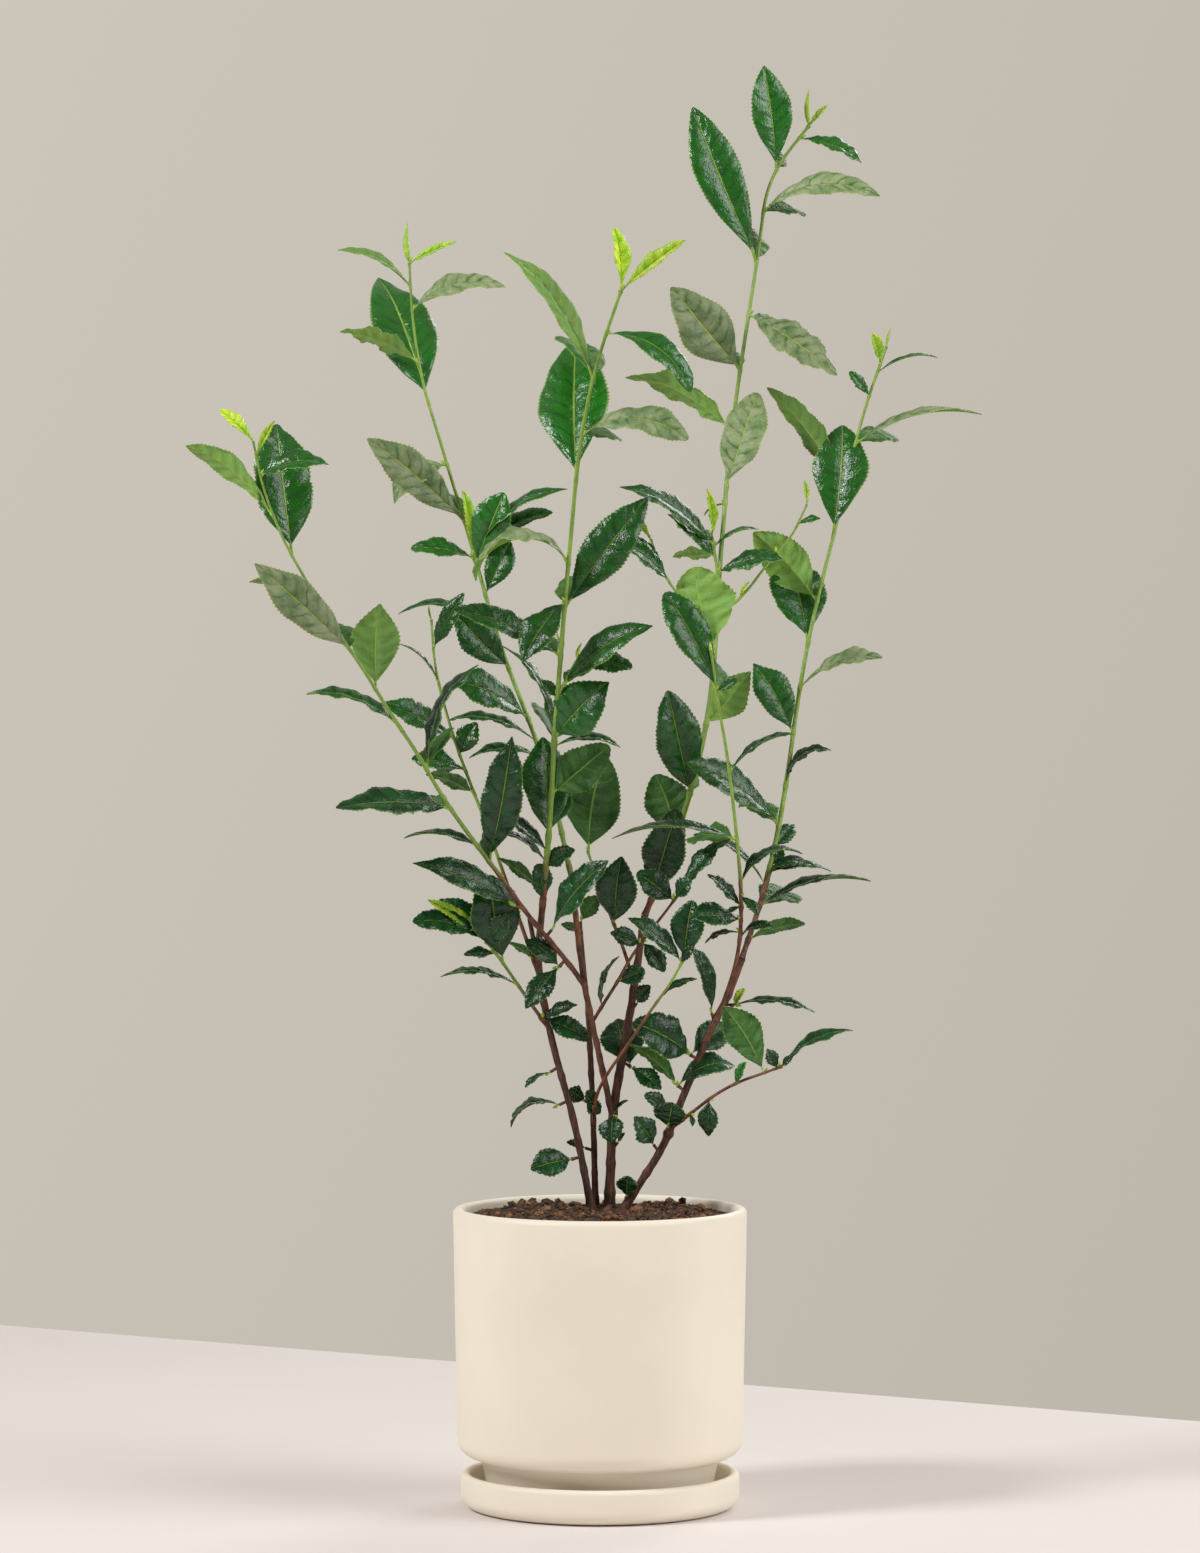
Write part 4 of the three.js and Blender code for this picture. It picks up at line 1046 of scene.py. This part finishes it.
def bark_material(colours):
    """Thin bark: dark and streaked where "age" is 1, red-brown at a half, smooth and green at 0."""
    material, tree, shader = start_material("tea_bark")
    names = ("bark", "red_bark", "tan_bark", "stem", "rib", "pore")
    bark, red, tan, stem, rib, pore = (rgba(getattr(colours, name)) for name in names)
    old = place_effect(tree, "mottle", Base=bark, Patch=red, Scale=210.0, Amount=0.9)
    newer = place_effect(tree, "mottle", Base=red, Patch=tan, Scale=120.0, Amount=0.9)
    green = place_effect(tree, "mottle", Base=stem, Patch=rib, Scale=90.0, Amount=0.5)
    age = carried(tree, "age")
    worn = spread(tree, age, 0.35, 0.8)
    brown = mixed(tree, worn, (newer, "Color"), (old, "Color"))
    streaks = place_effect(tree, "streaks", Scale=560.0, Share=0.4)
    streaked = mixed(tree, worked_out(tree, "MULTIPLY", (streaks, "Mask"), 0.5), brown, tan)
    edge = worked_out(tree, "MULTIPLY_ADD", (newer, "Mask"), 0.5, -0.4)
    ripe = worked_out(tree, "MULTIPLY_ADD", age, 5.0, edge)
    loose = place_node(tree, "Clamp", i0=ripe)
    skin = mixed(tree, (loose, 0), (green, "Color"), streaked)
    pores = place_effect(tree, "speckle", Scale=480.0, Size=0.22)
    dotted = mixed(tree, worked_out(tree, "MULTIPLY", (pores, "Mask"), 0.45), skin, pore)
    grain = place_effect(tree, "relief", Scale=900.0, Strength=0.4, Height=(streaks, "Mask"))
    rough = spread(tree, age, low=0.34, high=0.7)
    feed(shader, Base_Color=dotted, Roughness=rough, Normal=(grain, "Normal"))
    return material


def leaf_material(name, colour, patch, vein_and_crease_shade, rib, rough, gloss, vein_and_crease_shade_share=0.5, rib_share=0.6):
    """A leaf's skin: its own tone, clouds of a second colour, side veins, midrib and margin, with painted
    shade in the creases and lighter painted puffs between them.
    """
    material, tree, shader = start_material(name)
    cloud = place_effect(tree, "mottle", Base=rgba(colour), Patch=rgba(patch), Scale=85.0, Amount=0.7)
    veins = place_effect(tree, "leaf_veins", Width=0.16)
    bright = spread(tree, carried(tree, "tone"), low=0.75, high=1.35)
    # Painted shade: the puffs between the side veins are painted up to 6% lighter and the creases between
    # them up to 12% darker.
    painted_puff_shading = spread(tree, (veins, "Puff"), low=0.88, high=1.06)
    skin = scaled(tree, (cloud, "Color"), worked_out(tree, "MULTIPLY", bright, painted_puff_shading))
    # Side veins: on upper sides a darker colour, a painted shade in the creases; on undersides their own
    # paler colour.
    lines = [("Side", vein_and_crease_shade_share, vein_and_crease_shade), ("Midrib", rib_share, rib), ("Margin", rib_share * 0.6, rib)]
    for line, share, over in lines:
        skin = mixed(tree, worked_out(tree, "MULTIPLY", (veins, line), share), skin, rgba(over))
    puckers = cloudy(tree, (place_node(tree, "TexCoord"), "Object"), 150.0, 3.0)
    puffs = worked_out(tree, "MULTIPLY", (veins, "Puff"), 0.7)
    puffed = worked_out(tree, "MULTIPLY_ADD", puckers, 1.5, puffs)
    raised = worked_out(tree, "SUBTRACT", puffed, (veins, "Midrib"))
    grain = place_effect(tree, "relief", Scale=700.0, Strength=0.7, Height=raised)
    sheen = spread(tree, (grain, "Grain"), 0.3, 0.7, rough - 0.05, rough + 0.08)
    feed(shader, Base_Color=skin, Roughness=sheen, Normal=(grain, "Normal"), Specular_IOR_Level=gloss)
    return material


def leaf_materials(c):
    """Each kind: four colours, roughness, gloss, and how strongly its creases and its midrib show. The third
    colour, on the side veins, is darker on upper sides, a painted shade in the creases, and paler on
    undersides, the veins' own colour.
    """
    kinds = {
        "young": (c.young, c.lime, c.young, c.lime, 0.34, 0.45),
        "bright": (c.bright, c.fresh, c.dark, c.rib, 0.2, 0.7, 0.6, 0.9),
        "fresh": (c.fresh, c.dark, c.deep, c.rib, 0.23, 0.55, 0.6, 0.5),
        "dark": (c.dark, c.deep, c.deep, c.rib, 0.25, 0.48, 0.7, 0.6),
        # The grey sheen kind's pale grey-green is a painted sheen.
        "grey_sheen": (c.grey_sheen, c.dim, c.fresh, c.lime, 0.42, 0.4, 0.7, 0.5),
        "underside": (c.underside, c.stem, c.rib, c.rib, 0.5, 0.3, 0.22, 0.8),
        "dim": (c.dim, c.dark, c.underside, c.rib, 0.5, 0.3, 0.4, 0.6),
        "rib": (c.rib, c.stem, c.rib, c.rib, 0.42, 0.4),
        "bud": (c.rib, c.young, c.lime, c.lime, 0.45, 0.35),
    }
    return {kind: leaf_material("leaf_" + kind, *look) for kind, look in kinds.items()}


def floor_material(colour):
    material, tree, shader = start_material("pale_floor")
    cloud = place_effect(tree, "mottle", Base=rgba(colour), Patch=rgba(colour, 0.97), Scale=3.0, Amount=0.5)
    feed(shader, Base_Color=(cloud, "Color"), Roughness=0.75, Specular_IOR_Level=0.2)
    return material


# ------------------------------------------------------------------ settings


def colour_property(name, description, code):
    return FloatVectorProperty(
        name=name, description=description, subtype="COLOR", size=3, min=0, max=1, default=paint(code)
    )


def length_property(name, description, default):
    return FloatProperty(name=name, description=description, default=default, unit="LENGTH")


def count_property(name, description, default, least=0):
    return IntProperty(name=name, description=description, default=default, min=least)


class PotSettings(bpy.types.PropertyGroup):
    """The pot and its saucer."""

    glaze: colour_property("Glaze", "Colour of the pot and the saucer", "f4ebda")
    wall: length_property("Wall", "Thickness of the pot's wall", 7.5 * MM)
    corner: length_property("Corner", "Radius of the turn under the pot's body", 11 * MM)
    body_radius: length_property("Lower radius", "Radius of the body above its foot", 92.2 * MM)
    body_floor: length_property("Body floor", "Height at which the body widens out", 33 * MM)
    foot_radius: length_property("Foot radius", "Radius of the foot at its bottom", 71.5 * MM)
    saucer_wall: length_property("Saucer wall", "Thickness of the saucer's wall", 6.5 * MM)
    saucer_floor: length_property("Saucer floor", "Thickness of the saucer's floor", 6 * MM)
    sides: count_property("Sides", "Faces round the pot", 128, 24)


class SoilSettings(bpy.types.PropertyGroup):
    """The potting mix."""

    colour: colour_property("Mix", "Main colour of the potting mix", "2f2017")
    fibre: colour_property("Fibre", "Colour of the fibres in it", "7d5638")
    chip: colour_property("Chips", "Colour of the bark chips", "b57d50")
    depth: length_property("Depth", "Depth of the modelled bed", 22 * MM)
    crumbs: count_property("Crumbs", "Number of loose crumbs", 1700)
    clods: count_property("Clods", "Number of larger clods", 170)
    chips: count_property("Chips", "Number of bark chips", 110)


class PlantSettings(bpy.types.PropertyGroup):
    """The bush's wood and leaves."""

    bark: colour_property("Bark", "Old bark", "2b1b18")
    red_bark: colour_property("Red bark", "Younger bark", "4c261b")
    tan_bark: colour_property("Tan bark", "Patches of the youngest bark", "8c5838")
    pore: colour_property("Pores", "Small corky pores", "7d6350")
    stem: colour_property("Stem", "Green stems", "7c9d3d")
    young: colour_property("Young leaf", "Leaves at the tips", "93c42c")
    lime: colour_property("Lime", "Palest part of a young leaf", "d6e848")
    bright: colour_property("Bright leaf", "Upper leaves", "17660f")
    fresh: colour_property("Fresh leaf", "Middle leaves", "1a5512")
    dark: colour_property("Dark leaf", "Lower leaves", "12461a")
    deep: colour_property("Deep leaf", "Shaded patches of the lower leaves", "062410")
    # Painted sheen: the pale grey-green of the grey sheen leaves.
    grey_sheen: colour_property("Dusty leaf", "Dull grey-green leaves", "8f9d72")
    underside: colour_property("Underside", "Lower side of a leaf", "6f9a4c")
    dim: colour_property("Low underside", "Lower side of a leaf low on the bush", "446e30")
    rib: colour_property("Rib", "Midribs and stalks", "9dc04e")
    age_height: length_property("Green above", "Height at which stems turn from brown to green", 0.405)
    seed: count_property("Seed", "Seed of the small differences between leaves", 11)


class StageSettings(bpy.types.PropertyGroup):
    """Floor, light and camera."""

    floor: colour_property("Floor", "Colour of the floor", "e6dfdd")
    wall: colour_property("Background", "Colour behind the plant", "c7c0b5")
    distance: length_property("Distance", "From the camera to the pot's axis", 3.4)
    height: length_property("Height", "Height of the camera", 0.522)
    frame_height: length_property("Frame", "Height of the view at the pot's axis", 1.004)
    shift: FloatProperty(name="Shift", description="Downward shift of the view", default=-0.0505)
    key: FloatProperty(name="Key light", description="Power of the main light, in watts", default=57)
    fill: FloatProperty(name="Fill light", description="Power of the second light, in watts", default=73)


# ------------------------------------------------------------------ operators

FOOT_EDGE = 1.2 * MM  # bevel under the pot's foot
FOOT_LEAN = 5.5 * MM  # how much wider the foot is at its top
FOOT_TOP = 1.5 * MM  # how far under the body its slope ends
NECK = 2 * MM  # radius of the hollow between foot and body
NECK_OUT = 9 * MM  # how far outside the foot the hollow has its middle
POT_FLOOR = 9 * MM
INSIDE_TAPER = 2.6 * MM  # how much narrower the pot is inside at its floor
INSIDE_TURN = 8 * MM
INSIDE_RISE = 16 * MM  # height of that turn above the body's own floor
SAUCER_CORNER = 9 * MM
SAUCER_TURN = 4 * MM
SOIL_SIDES = 150
SOIL_RINGS = 48
SOIL_LUMPS = {"scale": 90, "rise": 2.2}
SOIL_GRAIN = {"scale": 620, "rise": 0.7}
RIM_SMOOTH = 6 * MM  # the bed is smooth within this distance of the pot
CLEAR_OF_RIM = 5 * MM  # crumbs stay this far from it
CLOD_CLEAR = 4 * MM  # and the larger clods this much further
LOOSE = {  # size, flatness and seed of what lies on the soil
    "soil_crumbs": (1.6 * MM, 0.8, 3),
    "soil_clods": (3.6 * MM, 0.8, 4),
    "bark_chips": (2.1 * MM, 0.35, 5),
}
OLD_SHARE = {"cane": 1.0, "bough": 0.7, "stem": 0.6}  # how old the bark can look
GREEN_FROM = {"low_left_shoot": 0.33, "low_cross_shoot": 0.325, "low_right_shoot": 0.3}
STEM_STEP = 2.2  # spacing of a stem's rings, in millimetres
STEM_SIDES = {"stem": 9, "twig": 7}
NODE_SWELL = (0.3, 1.7)  # swelling of a stem where a leaf starts, and its reach
BASE_SWELL = (0.35, 2.5)  # and where the stem itself starts
STUB_RINGS = 14
END_BUD = {"width": 0.9, "sway": 0.06}  # width against the width in the plan
SIDE_BUD = {"size": (2.6, 4.6), "width": 0.24, "sway": 0.04}  # in each leaf's angle with its stem
TURN_OF_TABLE = -32
FLOOR_WIDTH = 7
FLOOR_EDGE = 0.568  # how far behind the pot's axis the floor ends
FLOOR_NEAR = 3.0
FLOOR_DROP = 0.4 * MM
LIT_POINT = (0, 0, 0.45)
RIM_SHARE = 0.25  # power of the light from behind, as a share of the fill light's
LAMPS = {  # place and size of each light
    "key": ((-2.15, -1.1, 2.1), 0.8),
    "fill": ((2.6, -1.1, 2.0), 2.6),
    "rim": ((1.2, 2.2, 1.8), 1.2),
}


def finish_piece(piece, slot, *nodes):
    """Rides a finished piece on the plant's one body, in place of its CAD nodes."""
    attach(piece, "root")
    if nodes:
        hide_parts(*nodes)


class MakePot(bpy.types.Operator):
    """Turns the round pot, with its narrow foot and rounded lip"""

    bl_idname = "tea_bush.make_pot"
    bl_label = "Pot"

    def execute(self, context):
        sizes = context.scene.tea_bush_pot
        lip = sizes.wall / 2
        inside = POT_RADIUS - sizes.wall - INSIDE_TAPER
        foot, body, corner = sizes.foot_radius, sizes.body_radius, sizes.corner
        floor, shoulder = sizes.body_floor, sizes.body_floor + sizes.corner
        rings = [
            (foot - FOOT_EDGE, POT_LOW.z),
            (foot, POT_LOW.z + FOOT_EDGE),
            (foot + FOOT_LEAN, floor - FOOT_TOP),
            *bow(foot + NECK_OUT, floor - NECK, NECK, 165, 90, 4),
            *bow(body - corner, shoulder, corner, -88, 0, 12),
        ]
        rise = POT_HIGH.z - lip - rings[-1][1]
        for step in (0.25, 0.5, 0.75):
            rings.append((body + (POT_RADIUS - body) * step, shoulder + rise * step))
        rings.extend(bow(POT_RADIUS - lip, POT_HIGH.z - lip, lip, 0, 180, 16))
        rings.append((inside, floor + INSIDE_RISE))
        rings.extend(bow(inside - INSIDE_TURN, floor + INSIDE_RISE, INSIDE_TURN, -10, -80, 6))
        rings.append((foot - sizes.wall, POT_LOW.z + POT_FLOOR))
        piece = turn_on_wheel("ceramic_pot", rings, sizes.sides)
        piece.data.materials.append(ceramic_material(sizes.glaze))
        finish_piece(piece, "ceramic", "pot")
        return {"FINISHED"}


class MakeSaucer(bpy.types.Operator):
    """Turns the saucer, with its rounded outer corner and lip"""

    bl_idname = "tea_bush.make_saucer"
    bl_label = "Saucer"

    def execute(self, context):
        sizes = context.scene.tea_bush_pot
        lip = sizes.saucer_wall / 2
        inner = SAUCER_RADIUS - sizes.saucer_wall - SAUCER_TURN
        rings = [
            *bow(SAUCER_RADIUS - SAUCER_CORNER, SAUCER_CORNER, SAUCER_CORNER, -90, 0, 12),
            *bow(SAUCER_RADIUS - lip, SAUCER_HEIGHT - lip, lip, 0, 180, 12),
            *bow(inner, sizes.saucer_floor + SAUCER_TURN, SAUCER_TURN, 0, -90, 6),
        ]
        piece = turn_on_wheel("ceramic_saucer", rings, sizes.sides)
        piece.data.materials.append(bpy.data.materials["cream_glaze"])
        finish_piece(piece, "ceramic", "saucer")
        return {"FINISHED"}


def scatter_lumps(name, count, reach, material):
    """Crumbs or chips strewn on the soil: one rough lump, turned, stretched and copied."""
    size, flatness, seed = LOOSE[name]
    deselect()
    bpy.ops.mesh.primitive_ico_sphere_add(subdivisions=1, radius=1)
    pattern = bpy.context.object
    corners = np.array([v.co for v in pattern.data.vertices])
    faces = [list(face.vertices) for face in pattern.data.polygons]
    bpy.data.objects.remove(pattern)
    dice = np.random.RandomState(seed)
    joined = Joined(name, {"lump": material}, ["tone"])
    for _ in range(count):
        away = reach * math.sqrt(dice.uniform(0, 1))
        turn = dice.uniform(0, 2 * math.pi)
        x, y = away * math.cos(turn), away * math.sin(turn)
        width = size * dice.uniform(0.35, 1) ** 1.5
        stretch = np.array([width * dice.uniform(0.8, 1.9), width, width * flatness * dice.uniform(0.7, 1.3)])
        shape = corners * stretch * dice.uniform(0.75, 1.2, (len(corners), 1))
        spin, tip = dice.uniform(0, 2 * math.pi), dice.uniform(-0.5, 0.5)
        cos, sin = math.cos(spin), math.sin(spin)
        turned = shape @ np.array([[cos, sin, tip], [-sin, cos, 0], [0, 0, 1]])
        level = soil_height(x / MM, y / MM) * MM + stretch[2] * dice.uniform(-0.2, 0.7)
        joined.add(turned + [x, y, level], faces, "lump", tone=dice.uniform(0, 1))
    finish_piece(joined.build(30), "soil")


class MakeSoil(bpy.types.Operator):
    """Fills the pot with potting mix: an uneven bed with mounds, crumbs and bark chips"""

    bl_idname = "tea_bush.make_soil"
    bl_label = "Soil"

    def execute(self, context):
        sizes = context.scene.tea_bush_soil
        radius = (SOIL_HIGH.x - SOIL_LOW.x) / 2
        top = SOIL_SHAPE["edge"] * MM
        piece = start_disc("potting_mix", SOIL_SIDES, radius, top - sizes.depth)
        draw_up(sizes.depth)
        for _ in range(SOIL_RINGS):
            bpy.ops.mesh.inset(thickness=radius / (SOIL_RINGS + 1))
        bpy.ops.mesh.poke()
        close_up()
        for vertex in piece.data.vertices:
            if vertex.co.z < top - MM:
                continue
            spot = Vector((vertex.co.x, vertex.co.y, 0))
            rough = noise.fractal(spot * SOIL_LUMPS["scale"] + Vector((0, 0, 3)), 0.7, 2.0, 4)
            fine = noise.noise(spot * SOIL_GRAIN["scale"] + Vector((0, 0, 9)))
            inward = float(smooth(radius - math.hypot(spot.x, spot.y), 0.0, RIM_SMOOTH))
            uneven = rough * SOIL_LUMPS["rise"] + fine * SOIL_GRAIN["rise"]
            vertex.co.z = (soil_height(spot.x / MM, spot.y / MM) + uneven * inward) * MM
        smooth_by_angle(piece, 60)
        mix = earth_material("potting_mix", sizes.colour, sizes.fibre, 0.92)
        piece.data.materials.append(mix)
        finish_piece(piece, "soil", "soil")

        reach = radius - CLEAR_OF_RIM
        scatter_lumps("soil_crumbs", sizes.crumbs, reach, mix)
        scatter_lumps("soil_clods", sizes.clods, reach - CLOD_CLEAR, mix)
        chip = earth_material("bark_chip", sizes.chip, sizes.fibre, 0.8)
        scatter_lumps("bark_chips", sizes.chips, reach, chip)
        return {"FINISHED"}


def age_of(points, green_above, most=1.0):
    """How old the bark is at each point: most near the soil, less higher up and 0 on green stems."""
    height = points[:, 2]
    worn = 1 - 0.45 * smooth(height, green_above / 2, green_above - 0.04)
    return most * worn * (1 - smooth(height, green_above - 0.025, green_above + 0.03))


class MakeCanes(bpy.types.Operator):
    """Draws out the canes and boughs, with bark relief, knots and a slight flare at the soil"""

    bl_idname = "tea_bush.make_canes"
    bl_label = "Canes and boughs"

    def execute(self, context):
        settings = context.scene.tea_bush_plant
        dice = np.random.RandomState(settings.seed)
        bark = bark_material(settings)
        stray = KNOTS["stray"]
        for name, limb in grow_limbs().items():
            knots = []
            for along in range(KNOTS["start"], KNOTS["stop"], KNOTS["spacing"]):
                place = along + dice.uniform(-stray, stray)
                knots.append((place, dice.uniform(*KNOTS["swelling"])))
            if name in BIG_KNOTS:
                knots.append(BIG_KNOTS[name])
            piece = draw_out_limb(name + "_wood", limb, knots, dice)
            points = np.array([v.co for v in piece.data.vertices])
            most = OLD_SHARE["cane" if name in CANES else "bough"]
            give_values(piece.data, "age", age_of(points, settings.age_height, most))
            piece.data.materials.append(bark)
            finish_piece(piece, "bark", name)
        return {"FINISHED"}


class MakeStems(bpy.types.Operator):
    """Grows the stems and twigs of the leafy shoots on from the canes and boughs"""

    bl_idname = "tea_bush.make_stems"
    bl_label = "Stems and twigs"

    def execute(self, context):
        green_above = context.scene.tea_bush_plant.age_height
        limbs = grow_limbs()
        shoots = grow_shoots(limbs)
        joined = Joined("stems_and_twigs", {"bark": bpy.data.materials["tea_bark"]}, ["age"])
        swell, reach = NODE_SWELL
        base_swell, base_reach = BASE_SWELL
        for shoot in shoots:
            for number, stem in enumerate(shoot["stems"]):
                rows = max(5, int(stem["length"] / STEM_STEP))
                places = np.linspace(0, 1, rows)
                radii = stem["radii"][0] + (stem["radii"][1] - stem["radii"][0]) * places
                for row in stem["leaves"]:
                    radii *= 1 + swell * np.exp(-(((places - row[0]) * stem["length"] / reach) ** 2))
                radii *= 1 + base_swell * np.exp(-places * stem["length"] / base_reach)
                centres = np.array([point_on(stem["path"], place) for place in places])
                ways = np.array([way_on(stem["path"], place) for place in places])
                rings = tube_rings(centres, ways, radii, STEM_SIDES["twig" if number else "stem"]) * MM
                turns_green = GREEN_FROM.get(shoot["name"], green_above)
                age = age_of(rings.reshape(-1, 3), turns_green, OLD_SHARE["stem"])
                joined.add_tube(rings, "bark", age=age)
        way = heading(STUB["lean"], STUB["near"])
        foot = point_on(limbs[STUB["from"]]["path"], STUB["at"])
        centres = foot + np.outer(np.linspace(0, STUB["length"], STUB_RINGS), way)
        radii = np.linspace(*STUB["radii"], STUB_RINGS)
        stub = tube_rings(centres, [way] * STUB_RINGS, radii, STEM_SIDES["stem"]) * MM
        joined.add_tube(stub, "bark", age=1.0)
        finish_piece(joined.build(60), "bark", *[shoot["name"] for shoot in shoots])
        return {"FINISHED"}


class MakeLeaves(bpy.types.Operator):
    """Sets every shoot's leaves on their stalks, each thin, veined, toothed and a little different"""

    bl_idname = "tea_bush.make_leaves"
    bl_label = "Leaves"

    def execute(self, context):
        settings = context.scene.tea_bush_plant
        dice = np.random.RandomState(settings.seed)
        materials = leaf_materials(settings)
        spur_leaves = Joined("spur_leaves", materials, LEAF_VALUES)
        buds = Joined("buds", {"bud": materials["bud"]}, LEAF_VALUES)
        spurs = []
        for shoot in grow_shoots(grow_limbs()):
            name = shoot["name"]
            is_spur = name.startswith("spur")
            joined = spur_leaves if is_spur else Joined(name + "_leaves", materials, LEAF_VALUES)
            for plan in plan_leaves(shoot):
                base, along = plan["base"], plan["along"]
                if plan["pose"] == "bud":
                    radius = plan["half"] * END_BUD["width"]
                    add_bud(buds, base, along, plan["length"], radius, END_BUD["sway"])
                    continue
                add_leaf(joined, plan, leaf_tint(name, plan, dice), dice)
                way = unit(plan["stem_way"] * 0.7 + along * 0.5)
                size = dice.uniform(*SIDE_BUD["size"]) * MM
                add_bud(buds, base + way * MM, way, size, size * SIDE_BUD["width"], SIDE_BUD["sway"])
            if is_spur:
                spurs.append(name)
            else:
                finish_piece(joined.build(), "foliage", name)
        finish_piece(spur_leaves.build(), "foliage", *spurs)
        finish_piece(buds.build(), "foliage")
        return {"FINISHED"}


def add_light(name, energy):
    """A round area light that faces the plant."""
    place, size = LAMPS[name]
    light = bpy.data.lights.new(name, "AREA")
    light.energy = energy
    light.shape = "DISK"
    light.size = size
    lamp = bpy.data.objects.new(name, light)
    lamp.location = place
    lamp.rotation_euler = (Vector(LIT_POINT) - Vector(place)).to_track_quat("-Z", "Y").to_euler()
    bpy.context.collection.objects.link(lamp)


def soft_room(colour):
    """A room that lights the plant from above and behind. It looks plain, with a painted light falloff: a
    little paler up and to -X.
    """
    world = bpy.data.worlds.new("soft_room")
    world.use_nodes = True
    tree = world.node_tree
    spot = place_node(tree, "TexCoord")
    ways = place_node(tree, "SeparateXYZ", i0=(spot, "Generated"))
    back = spread(tree, (ways, "Y"), 0.5, 0.9, gentle=True)
    high = spread(tree, (ways, "Z"), -0.3, 0.9, 0.1, 0.6)
    # Painted light falloff on the backdrop: paler up and to -X.
    aside = spread(tree, (ways, "X"), -0.15, 0.15, 1.05, 0.91)
    above = spread(tree, (ways, "Z"), -0.15, 0.15, 0.965, 1.035)
    fade = worked_out(tree, "MULTIPLY", aside, above)
    lit = place_node(tree, "Mix", i0=back, i2=high, i3=fade)
    rays = place_node(tree, "LightPath")
    level = place_node(tree, "Mix", i0=(rays, "Is Camera Ray"), i2=(lit, 0), i3=fade)
    feed(tree.nodes["Background"], Color=rgba(colour), Strength=(level, 0))
    return world


class SetStage(bpy.types.Operator):
    """Sets the pale floor, the background, the soft lights and the camera"""

    bl_idname = "tea_bush.set_stage"
    bl_label = "Stage"

    def execute(self, context):
        stage = context.scene.tea_bush_stage
        deselect()
        bpy.ops.mesh.primitive_plane_add(size=1)
        floor = context.object
        turn = math.radians(TURN_OF_TABLE)
        middle = (FLOOR_EDGE - FLOOR_NEAR) / 2
        floor.scale = (FLOOR_WIDTH, FLOOR_EDGE + FLOOR_NEAR, 1)
        floor.rotation_euler = (0, 0, turn)
        floor.location = (-middle * math.sin(turn), middle * math.cos(turn), -FLOOR_DROP)
        settle(floor, "floor")
        floor.data.materials.append(floor_material(stage.floor))

        context.scene.world = soft_room(stage.wall)
        add_light("key", stage.key)
        add_light("fill", stage.fill)
        add_light("rim", stage.fill * RIM_SHARE)

        lens = bpy.data.cameras.new("camera")
        lens.sensor_width = 36
        lens.lens = lens.sensor_width * stage.distance / stage.frame_height
        lens.shift_y = stage.shift
        lens.clip_end = 50
        camera = bpy.data.objects.new("camera", lens)
        camera.location = (0, -stage.distance, stage.height)
        camera.rotation_euler = (math.radians(90), 0, 0)
        context.collection.objects.link(camera)
        context.scene.camera = camera
        context.scene.view_settings.view_transform = "Standard"
        return {"FINISHED"}


class TeaBushPanel(bpy.types.Panel):
    """Lists the pieces of the potted tea bush"""

    bl_idname = "VIEW3D_PT_tea_bush"
    bl_label = "Tea Bush"
    bl_space_type = "VIEW_3D"
    bl_region_type = "UI"
    bl_category = "Tea Bush"

    def draw(self, context):
        for operator in OPERATORS:
            self.layout.operator(operator.bl_idname)
        for name in SETTINGS:
            box = self.layout.box()
            group = getattr(context.scene, name)
            for key in type(group).__annotations__:
                box.prop(group, key)


OPERATORS = [MakePot, MakeSaucer, MakeSoil, MakeCanes, MakeStems, MakeLeaves, SetStage]
SETTINGS = {
    "tea_bush_pot": PotSettings,
    "tea_bush_soil": SoilSettings,
    "tea_bush_plant": PlantSettings,
    "tea_bush_stage": StageSettings,
}


def register():
    for kind in [*SETTINGS.values(), *OPERATORS, TeaBushPanel]:
        bpy.utils.register_class(kind)
    for name, kind in SETTINGS.items():
        setattr(bpy.types.Scene, name, PointerProperty(type=kind))


def unregister():
    for name in SETTINGS:
        delattr(bpy.types.Scene, name)
    for kind in [TeaBushPanel, *OPERATORS, *reversed(SETTINGS.values())]:
        bpy.utils.unregister_class(kind)


def main():
    register()
    bpy.ops.tea_bush.make_pot()
    bpy.ops.tea_bush.make_saucer()
    bpy.ops.tea_bush.make_soil()
    bpy.ops.tea_bush.make_canes()
    bpy.ops.tea_bush.make_stems()
    bpy.ops.tea_bush.make_leaves()
    bpy.ops.tea_bush.set_stage()


if __name__ == "__main__":
    main()
